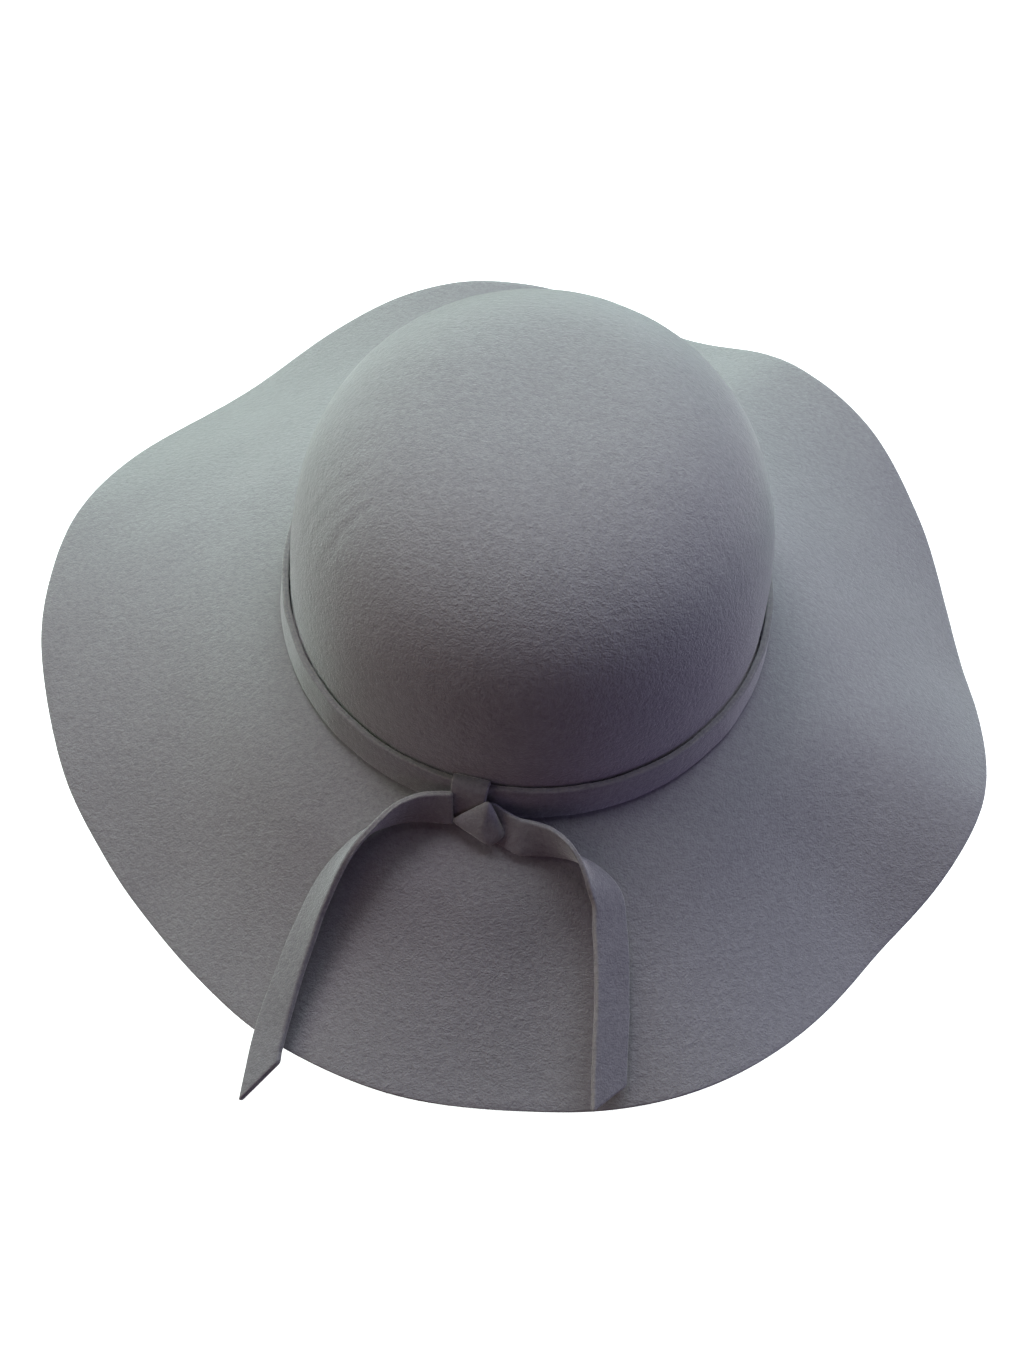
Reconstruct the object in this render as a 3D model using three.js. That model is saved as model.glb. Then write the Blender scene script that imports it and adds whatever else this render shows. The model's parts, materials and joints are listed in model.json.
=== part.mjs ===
// Floppy felt hat: a blocked wool-felt crown and brim in one piece, a narrow felt strap tied round
// the foot of the crown with a simple knot and two free tails, and an inner ribbon sweatband with a
// blank size label. Millimetres, +Z up through the crown, the knot towards -Y. The origin is the
// centre of the head opening, at the height where the crown meets the brim.
import * as THREE from 'three';
import { mergeVertices } from 'three/addons/utils/BufferGeometryUtils.js';

// ---- driving dimensions ----
const crownHalfWidth = 86;    // outside of the crown at its foot, across
const crownHalfLength = 98;   // outside of the crown at its foot, front to back
const crownHeight = 94.5;
const crownSquareness = 3.1;   // 2 is an ellipsoid; higher keeps the wall upright and the top flat
const feltThickness = 2.2;
const brimWidth = 97;         // along the felt, from the crown's foot to the raw edge
const breakRadius = 4;        // inner radius of the bend between crown and brim
const brimRootAngle = 16;     // how far the brim already slopes where it leaves the bend, degrees
const bellyShare = 0.35;      // share of the brim's width where its fall reaches the belly
// The brim's waves: [direction, slope, edge slope], all in degrees. The direction goes round from +X.
// The slope is the brim's average fall there, from the bend to the edge. The last is its fall at the
// edge. Where that is less than the average, the brim bellies and then flattens towards its edge.
const brimWaves = [
  [8, 25, 30], [55, 8, 0], [73, 15, 14], [100, 7, -2], [138, 22, 28], [170, 14, 9],
  [232, 38, 34], [262, 34, 28], [275, 34, 28], [293, 27, 24], [320, 33, 30], [345, 19, 16],
];

const strapWidth = 13;
const strapThickness = 2.4;
const strapLift = 1.2;        // underside of the tied strap over the top of the brim, at its foot
const strapGap = 0.6;         // between the strap and the crown's wall
const strapFlare = 1.0;       // how much further out the strap stands at its lower edge

const pieceGap = 0.35;        // between neighbouring pieces

const knotDirection = 262.5;  // degrees round from +X
const wrapWidth = 12.5;
const wrapThickness = 2.4;
const wrapFoot = -0.3;        // height of its lower end
const wrapOver = 1.3;         // its thickness where it is pulled tight over the strap's upper edge
const wrapFlare = 0.8;        // how far its lower end stands off

// The folded corner under the wrap is a kite, and its corners are shares of these sizes.
const foldWidth = 17;
const foldFoot = -1.6;        // height of its lowest corner, over the felt
const foldThickness = 3;
const foldTipThickness = 1.5; // at the two corners that lie on the wrap
const foldDrop = 0.5;         // of its upper corner, from the strap's upper edge
const foldRightShare = 0.7;   // how much of its width lies to the right of the knot's middle

// Each tail's lower edge rests along the felt. A station is [direction, run, lift, lean]: the place
// on the brim, how far the edge is off it, and how the strip leans: 0 is flat towards the crown, 90
// on edge, 180 flat the other way. The root is the first station, and its direction follows from
// how far along the strap it starts. The slanting end cuts the upper edge back by endCut.
const leftTail = {
  crownSide: 1,
  endCut: 14,
  rootAlong: -(wrapWidth / 2 + 0.2),
  root: [6.5, 0, 56],
  stations: [
    [255, 8, 0, 60], [250, 12, 0, 85], [245.8, 20.3, 0, 110], [242.9, 36.3, 0, 133],
    [242.7, 59, 0, 147], [243.8, 81, 0, 155], [245, 97.5, 0, 159], [247.4, 118, 1.6, 158],
  ],
};
const rightTail = {
  crownSide: -1,
  endCut: -8,
  rootAlong: foldWidth * foldRightShare + 2,
  root: [12.6, 0, 33],
  stations: [
    [275, 12.8, 0, 34], [280, 13.1, 0, 62], [284.9, 15.6, 0, 100], [287.9, 20.5, 0, 136],
    [290, 28.2, 0, 155], [289.7, 39.8, 0, 160], [288.4, 58.2, 0, 160], [286, 88.8, 0, 158],
  ],
};
const tailClearance = 0.7;    // between a resting tail's lower edge and the felt under it
const tailSteps = 30;
const cutReach = 20;          // length over which a tail's sections skew towards its slanting end

const sweatbandHeight = 26;
const sweatbandThickness = 0.9;
const sweatbandRise = 1.0;    // its lower edge over the head opening's plane
const sweatbandGap = 0.7;     // to the felt behind it
const threadRadius = 0.45;
const seamInset = 2.2;        // of the sewing line from the sweatband's lower edge

const labelWidth = 22;
const labelHeight = 16;
const labelThickness = 0.6;
const labelDirection = 90;    // at the back
const labelDrop = 4;          // of its sewn edge below the sweatband's upper edge
const labelTackLength = 12;
const labelTackRadius = 0.45;
const labelGap = 0.6;         // between the label or its stitches and the sweatband behind them

const tackLength = 5;         // hidden hand stitches that hold the strap to the crown
const tackRise = 3;           // over the strap's lower edge
const tackGap = 0.45;         // on each side of a hidden stitch
const tackDirections = { band_tack_left: 188, band_tack_back: 90, band_tack_right: 352 };

const aroundSteps = 72;       // facets round the hat

// ---- felt surface ----
const rad = THREE.MathUtils.degToRad;

// The brim's average fall and its fall at the edge.
function brimFall(direction) {
  const [first, ...firstFalls] = brimWaves[0];
  const turned = first + (((direction - first) % 360) + 360) % 360;
  const ring = [...brimWaves, [first + 360, ...firstFalls]];
  const i = ring.findIndex(([at]) => at > turned) - 1;
  const [[fromAt, ...from], [toAt, ...to]] = [ring[i], ring[i + 1]];
  const share = (1 - Math.cos(Math.PI * (turned - fromAt) / (toAt - fromAt))) / 2;
  return from.map((fall, k) => rad(fall + (to[k] - fall) * share));
}

function outwardNormal(direction) {
  const a = rad(direction);
  return new THREE.Vector2(Math.cos(a) / crownHalfWidth, Math.sin(a) / crownHalfLength).normalize();
}

// A point beside the crown's foot: `out` from its outer wall, at height z.
function besideCrown(direction, out, z) {
  const a = rad(direction);
  const n = outwardNormal(direction);
  return new THREE.Vector3(
    crownHalfWidth * Math.cos(a) + n.x * out, crownHalfLength * Math.sin(a) + n.y * out, z);
}

// A point on the brim: `run` along the felt from the bend, `lift` off its top face. The profile is
// two circular arcs: one from the bend to the belly, the other from there to the edge.
function onBrim(direction, run, lift = 0) {
  const root = rad(brimRootAngle);
  const [slope, edge] = brimFall(direction);
  const bellyRun = brimWidth * bellyShare;
  const belly = 2 * slope - bellyShare * root - (1 - bellyShare) * edge;
  const arcs = [[root, belly, bellyRun, Math.min(run, bellyRun)]];
  if (run > bellyRun) arcs.push([belly, edge, brimWidth - bellyRun, run - bellyRun]);
  let out = breakRadius * (1 - Math.sin(root));
  let z = breakRadius * (1 - Math.cos(root));
  let angle = root;
  for (const [from, to, length, walked] of arcs) {
    const turn = Math.abs(to - from) < 1e-4 ? 1e-4 : to - from;
    const arcRadius = length / turn;
    angle = from + turn * walked / length;
    out += arcRadius * (Math.sin(angle) - Math.sin(from));
    z -= arcRadius * (Math.cos(from) - Math.cos(angle));
  }
  return besideCrown(direction, out + lift * Math.sin(angle), z + lift * Math.cos(angle));
}

// The share of the foot's outline that the crown keeps at a share of its height.
const crownShare = (height) => (1 - height ** crownSquareness) ** (1 / crownSquareness);

// A point on the wall of the crown, `inset` inside its outer face, at height z.
function onCrownWall(direction, z, inset) {
  const a = rad(direction);
  const share = crownShare(Math.max(z, 0) / crownHeight);
  const n = outwardNormal(direction);
  return new THREE.Vector3(
    crownHalfWidth * share * Math.cos(a) - n.x * inset,
    crownHalfLength * share * Math.sin(a) - n.y * inset, z);
}

// ---- mesh helpers ----
function geometryFrom(points, triangles) {
  const geometry = new THREE.BufferGeometry();
  geometry.setAttribute('position', new THREE.Float32BufferAttribute(points.flatMap((p) => [p.x, p.y, p.z]), 3));
  geometry.setIndex(triangles);
  return geometry;
}

// A solid of closed sections that follow one another; the first and last are capped unless it
// closes on itself. Each section goes anticlockwise seen from the section after it.
function loft(sections, closed = false) {
  const n = sections[0].length;
  const points = sections.flat();
  const triangles = [];
  const spans = closed ? sections.length : sections.length - 1;
  for (let i = 0; i < spans; i++) {
    const here = i * n;
    const next = ((i + 1) % sections.length) * n;
    for (let j = 0; j < n; j++) {
      const k = (j + 1) % n;
      triangles.push(here + j, here + k, next + k, here + j, next + k, next + j);
    }
  }
  if (!closed) {
    const last = (sections.length - 1) * n;
    for (let j = 1; j < n - 1; j++) {
      triangles.push(0, j + 1, j);
      triangles.push(last, last + j, last + j + 1);
    }
  }
  return outwardFacing(geometryFrom(points, triangles));
}

function signedVolume(geometry) {
  const p = geometry.getAttribute('position');
  const index = geometry.getIndex();
  const [a, b, c] = [new THREE.Vector3(), new THREE.Vector3(), new THREE.Vector3()];
  let volume = 0;
  for (let i = 0; i < index.count; i += 3) {
    a.fromBufferAttribute(p, index.getX(i));
    b.fromBufferAttribute(p, index.getX(i + 1));
    c.fromBufferAttribute(p, index.getX(i + 2));
    volume += a.dot(b.cross(c)) / 6;
  }
  return volume;
}

function outwardFacing(geometry) {
  if (signedVolume(geometry) < 0) {
    const index = geometry.getIndex();
    for (let i = 0; i < index.count; i += 3) {
      const kept = index.getX(i + 1);
      index.setX(i + 1, index.getX(i + 2));
      index.setX(i + 2, kept);
    }
  }
  return geometry;
}

// ---- materials ----
const cloth = (color, roughness) => new THREE.MeshStandardMaterial({ color, roughness, metalness: 0 });
const felt = cloth(0x8b8d92, 0.95);
const strapFelt = cloth(0x7d7c85, 0.95);
const ribbon = cloth(0x6a6870, 0.8);
const thread = cloth(0x77757c, 0.7);
const labelCloth = cloth(0xd8d6cf, 0.85);

const hat = new THREE.Group();

function add(name, geometry, material) {
  const mesh = new THREE.Mesh(geometry, material);
  mesh.name = name;
  hat.add(mesh);
}

// ---- felt body: crown, bend and brim as one shell ----
function feltBody() {
  const crownSteps = 9;
  const bendSteps = 3;
  const brimSteps = 7;
  const root = rad(brimRootAngle);
  const points = [new THREE.Vector3(0, 0, crownHeight), new THREE.Vector3(0, 0, crownHeight - feltThickness)];
  const ringStart = points.length;

  const crownRing = (inset, step) => (direction) => {
    const a = rad(direction);
    const lowest = breakRadius / crownHeight;
    // The angle that puts the last ring at the top of the bend.
    const foot = Math.asin(lowest ** (crownSquareness / 2));
    const t = Math.PI / 2 + (foot - Math.PI / 2) * step / crownSteps;
    const share = Math.cos(t) ** (2 / crownSquareness);
    const rise = Math.sin(t) ** (2 / crownSquareness);
    const z = breakRadius + (crownHeight - inset - breakRadius)
      * (rise - lowest) / (1 - lowest);
    return new THREE.Vector3(
      (crownHalfWidth - inset) * share * Math.cos(a), (crownHalfLength - inset) * share * Math.sin(a), z);
  };
  const bendRing = (inset, step) => (direction) => {
    const swing = (Math.PI / 2 - root) * step / bendSteps;
    const reach = breakRadius + inset;
    return besideCrown(direction, breakRadius - reach * Math.cos(swing), breakRadius - reach * Math.sin(swing));
  };
  const brimRing = (inset, step) => (direction) => onBrim(direction, brimWidth * step / brimSteps, -inset);

  const profile = [];
  const side = (inset) => [
    ...Array.from({ length: crownSteps }, (_, i) => crownRing(inset, i + 1)),
    ...Array.from({ length: bendSteps - 1 }, (_, i) => bendRing(inset, i + 1)),
    ...Array.from({ length: brimSteps + 1 }, (_, i) => brimRing(inset, i)),
  ];
  profile.push(...side(0), ...side(feltThickness).reverse());

  for (let i = 0; i < aroundSteps; i++) {
    const direction = 360 * i / aroundSteps;
    for (const ring of profile) points.push(ring(direction));
  }
  const n = profile.length;
  const triangles = [];
  for (let i = 0; i < aroundSteps; i++) {
    const here = ringStart + i * n;
    const next = ringStart + ((i + 1) % aroundSteps) * n;
    for (let j = 0; j < n - 1; j++) {
      triangles.push(here + j, here + j + 1, next + j + 1, here + j, next + j + 1, next + j);
    }
    triangles.push(0, here, next);
    triangles.push(1, next + n - 1, here + n - 1);
  }
  return outwardFacing(geometryFrom(points, triangles));
}

// ---- rings round the crown ----
function ringOf(section, steps = aroundSteps) {
  return loft(Array.from({ length: steps }, (_, i) => section(360 * i / steps)), true);
}

const bandOut = (height) => strapGap + strapFlare * (1 - height / strapWidth);
const bandFoot = strapLift;
const bandTop = bandFoot + strapWidth;

function hatBand() {
  return ringOf((direction) => [
    besideCrown(direction, bandOut(0), bandFoot),
    besideCrown(direction, bandOut(0) + strapThickness, bandFoot),
    besideCrown(direction, bandOut(strapWidth) + strapThickness, bandTop),
    besideCrown(direction, bandOut(strapWidth), bandTop),
  ]);
}

function sweatband() {
  const outer = feltThickness + sweatbandGap;
  const inner = outer + sweatbandThickness;
  const top = sweatbandRise + sweatbandHeight;
  const levels = [sweatbandRise, (sweatbandRise + top) / 2, top];
  return ringOf((direction) => [
    ...levels.map((z) => onCrownWall(direction, z, inner)),
    ...[...levels].reverse().map((z) => onCrownWall(direction, z, outer)),
  ]);
}

function threadRing(z, inset, radius) {
  const sides = 6;
  return ringOf((direction) => {
    const centre = onCrownWall(direction, z, inset);
    const n = outwardNormal(direction);
    return Array.from({ length: sides }, (_, i) => {
      const a = 2 * Math.PI * i / sides;
      return new THREE.Vector3(
        centre.x + n.x * radius * Math.cos(a), centre.y + n.y * radius * Math.cos(a),
        centre.z + radius * Math.sin(a));
    });
  });
}

function stripped(geometry) {
  geometry.deleteAttribute('normal');
  geometry.deleteAttribute('uv');
  return geometry;
}

// ---- knot: a wrap over the strap and a folded corner under it ----
const bandFace = (z) => bandOut(z - bandFoot) + strapThickness;

// The wrap is a C in section: over the strap's upper edge and down its face. Points are [out, z].
function knotWrap() {
  const behind = strapGap;
  const over = bandTop + pieceGap;
  const face = (z) => bandFace(z) + pieceGap;
  const outline = new THREE.Shape([
    [face(bandFoot), wrapFoot + 0.8],
    [face(bandFoot) + wrapThickness + wrapFlare, wrapFoot],
    [face(bandTop) + wrapThickness + wrapFlare / 2, (wrapFoot + over) / 2],
    [face(bandTop) + wrapThickness, over + 0.4],
    [face(bandTop) + 0.6, over + wrapOver],
    [behind, over + wrapOver / 2],
    [behind, over],
    [face(bandTop), over],
  ].map(([out, z]) => new THREE.Vector2(out, z)));
  const wrap = new THREE.ExtrudeGeometry(outline, { depth: wrapWidth, bevelEnabled: false });
  wrap.translate(0, 0, -wrapWidth / 2);
  // Shape x is out from the crown, shape y is up, and the extrusion runs along the strap.
  wrap.applyMatrix4(knotFrame());
  return mergeVertices(stripped(wrap), 1e-4);
}

// Its corners are [along the strap, out, z, thickness].
function knotFold() {
  const { foot, out, along } = knotAxes();
  const topOut = bandFace(bandTop) + wrapThickness + 2 * pieceGap + foldTipThickness;
  const top = bandTop - foldDrop;
  const height = top - foldFoot;
  const front = [
    [foldWidth * 0.4, topOut, top, foldTipThickness],
    [-foldWidth * 0.27, topOut + 2.4, top - height * 0.82, foldTipThickness],
    [foldWidth * 0.49, topOut + 7.8, top - height, foldThickness],
    [foldWidth * foldRightShare, topOut + 3.8, top - height * 0.8, foldThickness],
  ];
  const at = ([x, y, z]) => foot.clone().addScaledVector(along, x).addScaledVector(out, y)
    .add(new THREE.Vector3(0, 0, z));
  const corners = front.map(at);
  const normal = new THREE.Vector3().crossVectors(
    corners[3].clone().sub(corners[0]), corners[1].clone().sub(corners[0])).normalize();
  if (normal.dot(out) < 0) normal.negate();
  const back = corners.map((corner, i) => corner.clone().addScaledVector(normal, -front[i][3]));
  return loft([back, corners]);
}

function knotAxes() {
  const n = outwardNormal(knotDirection);
  return {
    foot: besideCrown(knotDirection, 0, 0),
    out: new THREE.Vector3(n.x, n.y, 0),
    along: new THREE.Vector3(-n.y, n.x, 0),
  };
}

function knotFrame() {
  const { foot, out, along } = knotAxes();
  return new THREE.Matrix4().makeBasis(out, new THREE.Vector3(0, 0, 1), along.clone().negate())
    .setPosition(foot);
}

// ---- tails ----
// A strip lofted along its lower edge, leaning as its stations say.
function tail({ stations: laid, root, rootAlong, crownSide, endCut }) {
  const [rootRun] = root;
  const sweep = new THREE.Vector2(
    crownHalfWidth * Math.sin(rad(knotDirection)), crownHalfLength * Math.cos(rad(knotDirection))).length();
  const rootDirection = knotDirection + THREE.MathUtils.radToDeg(rootAlong / (sweep + rootRun));
  const stations = [[rootDirection, ...root], ...laid];
  const edge = new THREE.CatmullRomCurve3(stations.map(([direction, run, lift, lean]) => onBrim(
    direction, run, lift + tailClearance + strapThickness / 2 * Math.abs(Math.cos(rad(lean))))), false, 'centripetal');
  const normals = new THREE.CatmullRomCurve3(stations.map(([direction, run]) =>
    onBrim(direction, run, 1).sub(onBrim(direction, run, 0))), false, 'catmullrom');
  const leans = new THREE.CatmullRomCurve3(stations.map((station) =>
    new THREE.Vector3(station[3], 0, 0)), false, 'catmullrom');
  const lengths = edge.getLengths(400);
  const full = lengths[lengths.length - 1];
  const sections = [];
  for (let i = 0; i <= tailSteps; i++) {
    const t = edge.getUtoTmapping(i / tailSteps);
    const place = edge.getPoint(t);
    const heading = edge.getTangent(t);
    const normal = normals.getPoint(t);
    normal.addScaledVector(heading, -normal.dot(heading)).normalize();
    const sideways = new THREE.Vector3().crossVectors(heading, normal).multiplyScalar(crownSide);
    const lean = rad(leans.getPoint(t).x);
    const across = sideways.clone().multiplyScalar(Math.cos(lean)).addScaledVector(normal, Math.sin(lean));
    const through = new THREE.Vector3().crossVectors(heading, across);
    // The raw end is cut on the slant, so the sections skew towards it.
    const skew = Math.max(0, (i / tailSteps * full - (full - cutReach)) / cutReach);
    const far = place.clone().addScaledVector(across, strapWidth).addScaledVector(heading, -endCut * skew);
    const half = strapThickness / 2;
    sections.push([
      place.clone().addScaledVector(through, -half), far.clone().addScaledVector(through, -half),
      far.clone().addScaledVector(through, half), place.clone().addScaledVector(through, half),
    ]);
  }
  return loft(sections);
}

// ---- size label, threads and tacks ----
const sweatbandFace = feltThickness + sweatbandGap + sweatbandThickness;
const labelTop = sweatbandRise + sweatbandHeight - labelDrop;

// How far a straight piece of this length stands off the middle of the curved back wall.
function backSag(length) {
  const backRadius = (crownHalfWidth - sweatbandFace) ** 2 / (crownHalfLength - sweatbandFace);
  return length ** 2 / (8 * backRadius);
}

// A frame on the wall: x out, y round the hat, z up.
function wallFrame(direction, point) {
  const n = outwardNormal(direction);
  return new THREE.Matrix4().makeBasis(
    new THREE.Vector3(n.x, n.y, 0), new THREE.Vector3(-n.y, n.x, 0), new THREE.Vector3(0, 0, 1)).setPosition(point);
}

function sizeLabel() {
  const plate = new THREE.BoxGeometry(labelThickness, labelWidth, labelHeight);
  plate.translate(0, 0, -labelHeight / 2);
  const inset = sweatbandFace + labelGap + backSag(labelWidth) + labelThickness / 2;
  plate.applyMatrix4(wallFrame(labelDirection, onCrownWall(labelDirection, labelTop, inset)));
  return mergeVertices(stripped(plate), 1e-4);
}

// A short bar of thread that lies round the hat.
function threadBar(direction, point, length, radius) {
  const bar = new THREE.CylinderGeometry(radius, radius, length, 8);
  bar.applyMatrix4(wallFrame(direction, point));
  return mergeVertices(stripped(bar), 1e-4);
}

function labelTack() {
  const inset = sweatbandFace + labelGap + backSag(labelTackLength) + labelTackRadius;
  const z = labelTop + pieceGap + labelTackRadius;
  return threadBar(labelDirection, onCrownWall(labelDirection, z, inset), labelTackLength, labelTackRadius);
}

// A tack lies in the space between the strap and the crown's wall.
function bandTack(direction) {
  const space = bandOut(tackRise);
  return threadBar(direction, besideCrown(direction, space / 2, bandFoot + tackRise), tackLength, space / 2 - tackGap);
}

add('felt_body', feltBody(), felt);
add('hat_band', hatBand(), strapFelt);
add('knot_wrap', knotWrap(), strapFelt);
add('knot_fold', knotFold(), strapFelt);
add('left_tail', tail(leftTail), strapFelt);
add('right_tail', tail(rightTail), strapFelt);
add('sweatband', sweatband(), ribbon);
add('sweatband_thread', threadRing(
  sweatbandRise + seamInset, sweatbandFace + pieceGap + threadRadius, threadRadius), thread);
add('size_label', sizeLabel(), labelCloth);
add('label_tack', labelTack(), thread);
for (const [name, direction] of Object.entries(tackDirections)) add(name, bandTack(direction), thread);

export default hat;
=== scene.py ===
import json
import math

import bpy
import numpy as np
from mathutils import Matrix, Vector

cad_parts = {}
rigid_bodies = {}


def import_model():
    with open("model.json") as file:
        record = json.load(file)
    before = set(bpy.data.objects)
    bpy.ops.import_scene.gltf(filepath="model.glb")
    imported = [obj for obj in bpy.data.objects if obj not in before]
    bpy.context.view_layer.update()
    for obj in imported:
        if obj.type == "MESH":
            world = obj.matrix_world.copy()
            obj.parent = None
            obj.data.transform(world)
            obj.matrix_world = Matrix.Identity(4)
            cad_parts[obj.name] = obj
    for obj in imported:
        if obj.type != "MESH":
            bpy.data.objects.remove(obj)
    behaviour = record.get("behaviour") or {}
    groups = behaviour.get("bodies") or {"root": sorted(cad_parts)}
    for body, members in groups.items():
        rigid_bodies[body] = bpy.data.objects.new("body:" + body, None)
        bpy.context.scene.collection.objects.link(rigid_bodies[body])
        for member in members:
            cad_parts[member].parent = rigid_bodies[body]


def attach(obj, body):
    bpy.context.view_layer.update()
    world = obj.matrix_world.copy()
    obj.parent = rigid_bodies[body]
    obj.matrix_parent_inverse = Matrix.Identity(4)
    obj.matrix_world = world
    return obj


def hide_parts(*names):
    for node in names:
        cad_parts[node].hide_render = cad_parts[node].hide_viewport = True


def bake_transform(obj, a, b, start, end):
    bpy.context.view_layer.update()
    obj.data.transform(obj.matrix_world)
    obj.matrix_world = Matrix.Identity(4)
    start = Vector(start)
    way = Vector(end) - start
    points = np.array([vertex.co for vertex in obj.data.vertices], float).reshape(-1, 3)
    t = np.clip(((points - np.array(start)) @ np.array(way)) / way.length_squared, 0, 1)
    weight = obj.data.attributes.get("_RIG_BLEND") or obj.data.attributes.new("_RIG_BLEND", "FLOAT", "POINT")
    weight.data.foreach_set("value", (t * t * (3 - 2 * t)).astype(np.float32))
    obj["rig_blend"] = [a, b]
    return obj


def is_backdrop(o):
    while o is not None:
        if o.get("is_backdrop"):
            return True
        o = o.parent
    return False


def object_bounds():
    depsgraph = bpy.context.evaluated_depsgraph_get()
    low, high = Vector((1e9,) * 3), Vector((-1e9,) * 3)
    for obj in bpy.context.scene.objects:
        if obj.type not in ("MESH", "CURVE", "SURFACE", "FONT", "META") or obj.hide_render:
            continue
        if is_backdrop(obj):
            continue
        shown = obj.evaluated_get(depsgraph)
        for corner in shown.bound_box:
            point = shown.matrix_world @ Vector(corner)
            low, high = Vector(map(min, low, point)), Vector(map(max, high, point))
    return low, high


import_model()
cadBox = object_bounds()
mm = 0.001  # every size below is in millimetres until a mesh is made

# camera, floor and light

cameraPlace = {
    "aim": (-1.87, 0.0, -56.0), "distance": 639.0, "elevation": 51.5, "roll": 6.2,
    "lens": 42.46, "nearest": 20.0,
}


def placeCamera():
    lift = math.radians(cameraPlace["elevation"])
    roll = math.radians(cameraPlace["roll"])
    back = Vector((0, -math.cos(lift), math.sin(lift)))
    right = Vector((1, 0, 0))
    up = back.cross(right)
    axes = (right * math.cos(roll) + up * math.sin(roll), up * math.cos(roll) - right * math.sin(roll), back)
    data = bpy.data.cameras.new("camera")
    data.lens = cameraPlace["lens"]
    data.clip_start = cameraPlace["nearest"] * mm
    camera = bpy.data.objects.new("camera", data)
    bpy.context.scene.collection.objects.link(camera)
    place = Matrix(axes).transposed().to_4x4()
    place.translation = (Vector(cameraPlace["aim"]) + back * cameraPlace["distance"]) * mm
    camera.matrix_world = place
    bpy.context.scene.camera = camera


studio = {
    "floorDrop": 330.0,          # below the brim's bend
    "floorSize": 12000.0,
    "floorTone": (0.88, 0.88, 0.88, 1),
    "floorRoughness": 0.9,
    "floorGlow": 0.90,           # keeps the floor pale where the softboxes don't reach
    "backdrop": (0.93, 0.93, 0.93, 1),
    "fill": (0.016, 0.013, 0.015, 1),
}

# bearing round from +X and height in degrees, distance and size, power in watts, colour
softboxes = {
    "backLowSoftbox": (90, 8, 1500.0, 900.0, 12.0, (0.76, 1.0, 0.90)),
    "backLeftSoftbox": (135, 8, 1500.0, 700.0, 8.5, (0.68, 1.0, 0.84)),
    "leftSoftbox": (188, 27, 1500.0, 600.0, 3.8, (0.97, 0.92, 0.88)),
    "rightSoftbox": (0, 8, 1500.0, 900.0, 3.8, (0.55, 0.50, 1.0)),
    "frontSoftbox": (266, 10, 1500.0, 900.0, 1.0, (0.85, 0.62, 1.0)),
    "warmSoftbox": (222, 8, 1500.0, 900.0, 0.8, (1.0, 0.40, 0.16)),
    "shoulderSoftbox": (158, 35, 1500.0, 600.0, 1.9, (0.76, 1.0, 0.56)),
    "topRightSoftbox": (45, 62, 1500.0, 900.0, 7.2, (0.85, 0.88, 1.0)),
    "topBackSoftbox": (90, 62, 1500.0, 900.0, 7.0, (0.82, 1.0, 0.92)),
    "topLeftSoftbox": (135, 62, 1500.0, 500.0, 6.6, (0.98, 0.90, 0.97)),
    "floorBounce": (270, -90, 300.0, 500.0, 0.25, (1.0, 1.0, 1.0)),
}


def placeStudio():
    tone = bpy.data.materials.new("paleFloor")
    tone.use_nodes = True
    shader = tone.node_tree.nodes["Principled BSDF"]
    shader.inputs["Base Color"].default_value = studio["floorTone"]
    shader.inputs["Roughness"].default_value = studio["floorRoughness"]
    shader.inputs["Emission Color"].default_value = (1, 1, 1, 1)
    shader.inputs["Emission Strength"].default_value = studio["floorGlow"]
    # clear from underneath, so that the hat's inside can be looked at
    nodes, links = tone.node_tree.nodes, tone.node_tree.links
    side = nodes.new("ShaderNodeNewGeometry")
    clear = nodes.new("ShaderNodeBsdfTransparent")
    either = nodes.new("ShaderNodeMixShader")
    links.new(side.outputs["Backfacing"], either.inputs[0])
    links.new(shader.outputs[0], either.inputs[1])
    links.new(clear.outputs[0], either.inputs[2])
    links.new(either.outputs[0], nodes["Material Output"].inputs["Surface"])
    half = studio["floorSize"] * mm / 2
    z = -studio["floorDrop"] * mm
    mesh = bpy.data.meshes.new("floor")
    corners = [(-half, -half, z), (half, -half, z), (half, half, z), (-half, half, z)]
    mesh.from_pydata(corners, [], [(0, 1, 2, 3)])
    mesh.materials.append(tone)
    floor = bpy.data.objects.new("floor", mesh)
    floor.visible_diffuse = False  # the felt is lit by the softboxes and its own brim, not from under
    bpy.context.scene.collection.objects.link(floor)
    floor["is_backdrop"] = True

    for name, (bearing, height, distance, size, power, colour) in softboxes.items():
        data = bpy.data.lights.new(name, "AREA")
        data.shape = "DISK"
        data.size = size * mm
        data.energy = power
        data.color = colour
        lamp = bpy.data.objects.new(name, data)
        bpy.context.scene.collection.objects.link(lamp)
        turn, lift = math.radians(bearing), math.radians(height)
        place = Vector((math.cos(turn) * math.cos(lift), math.sin(turn) * math.cos(lift), math.sin(lift)))
        lamp.location = place * distance * mm
        lamp.rotation_euler = (-place).to_track_quat("-Z", "Y").to_euler()
        lamp.visible_camera = False

    # a plain backdrop, and a trace of light from all round
    world = bpy.data.worlds.new("paleRoom")
    bpy.context.scene.world = world
    world.use_nodes = True
    tree = world.node_tree
    tree.nodes.clear()
    soft = tree.nodes.new("ShaderNodeBackground")
    soft.inputs["Color"].default_value = studio["fill"]
    plain = tree.nodes.new("ShaderNodeBackground")
    plain.inputs["Color"].default_value = studio["backdrop"]
    path = tree.nodes.new("ShaderNodeLightPath")
    choose = tree.nodes.new("ShaderNodeMixShader")
    out = tree.nodes.new("ShaderNodeOutputWorld")
    tree.links.new(path.outputs["Is Camera Ray"], choose.inputs[0])
    tree.links.new(soft.outputs[0], choose.inputs[1])
    tree.links.new(plain.outputs[0], choose.inputs[2])
    tree.links.new(choose.outputs[0], out.inputs["Surface"])
    bpy.context.scene.view_settings.view_transform = "Standard"


placeCamera()
placeStudio()
print("camera, floor and light placed")

# felt and thread finishes


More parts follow.
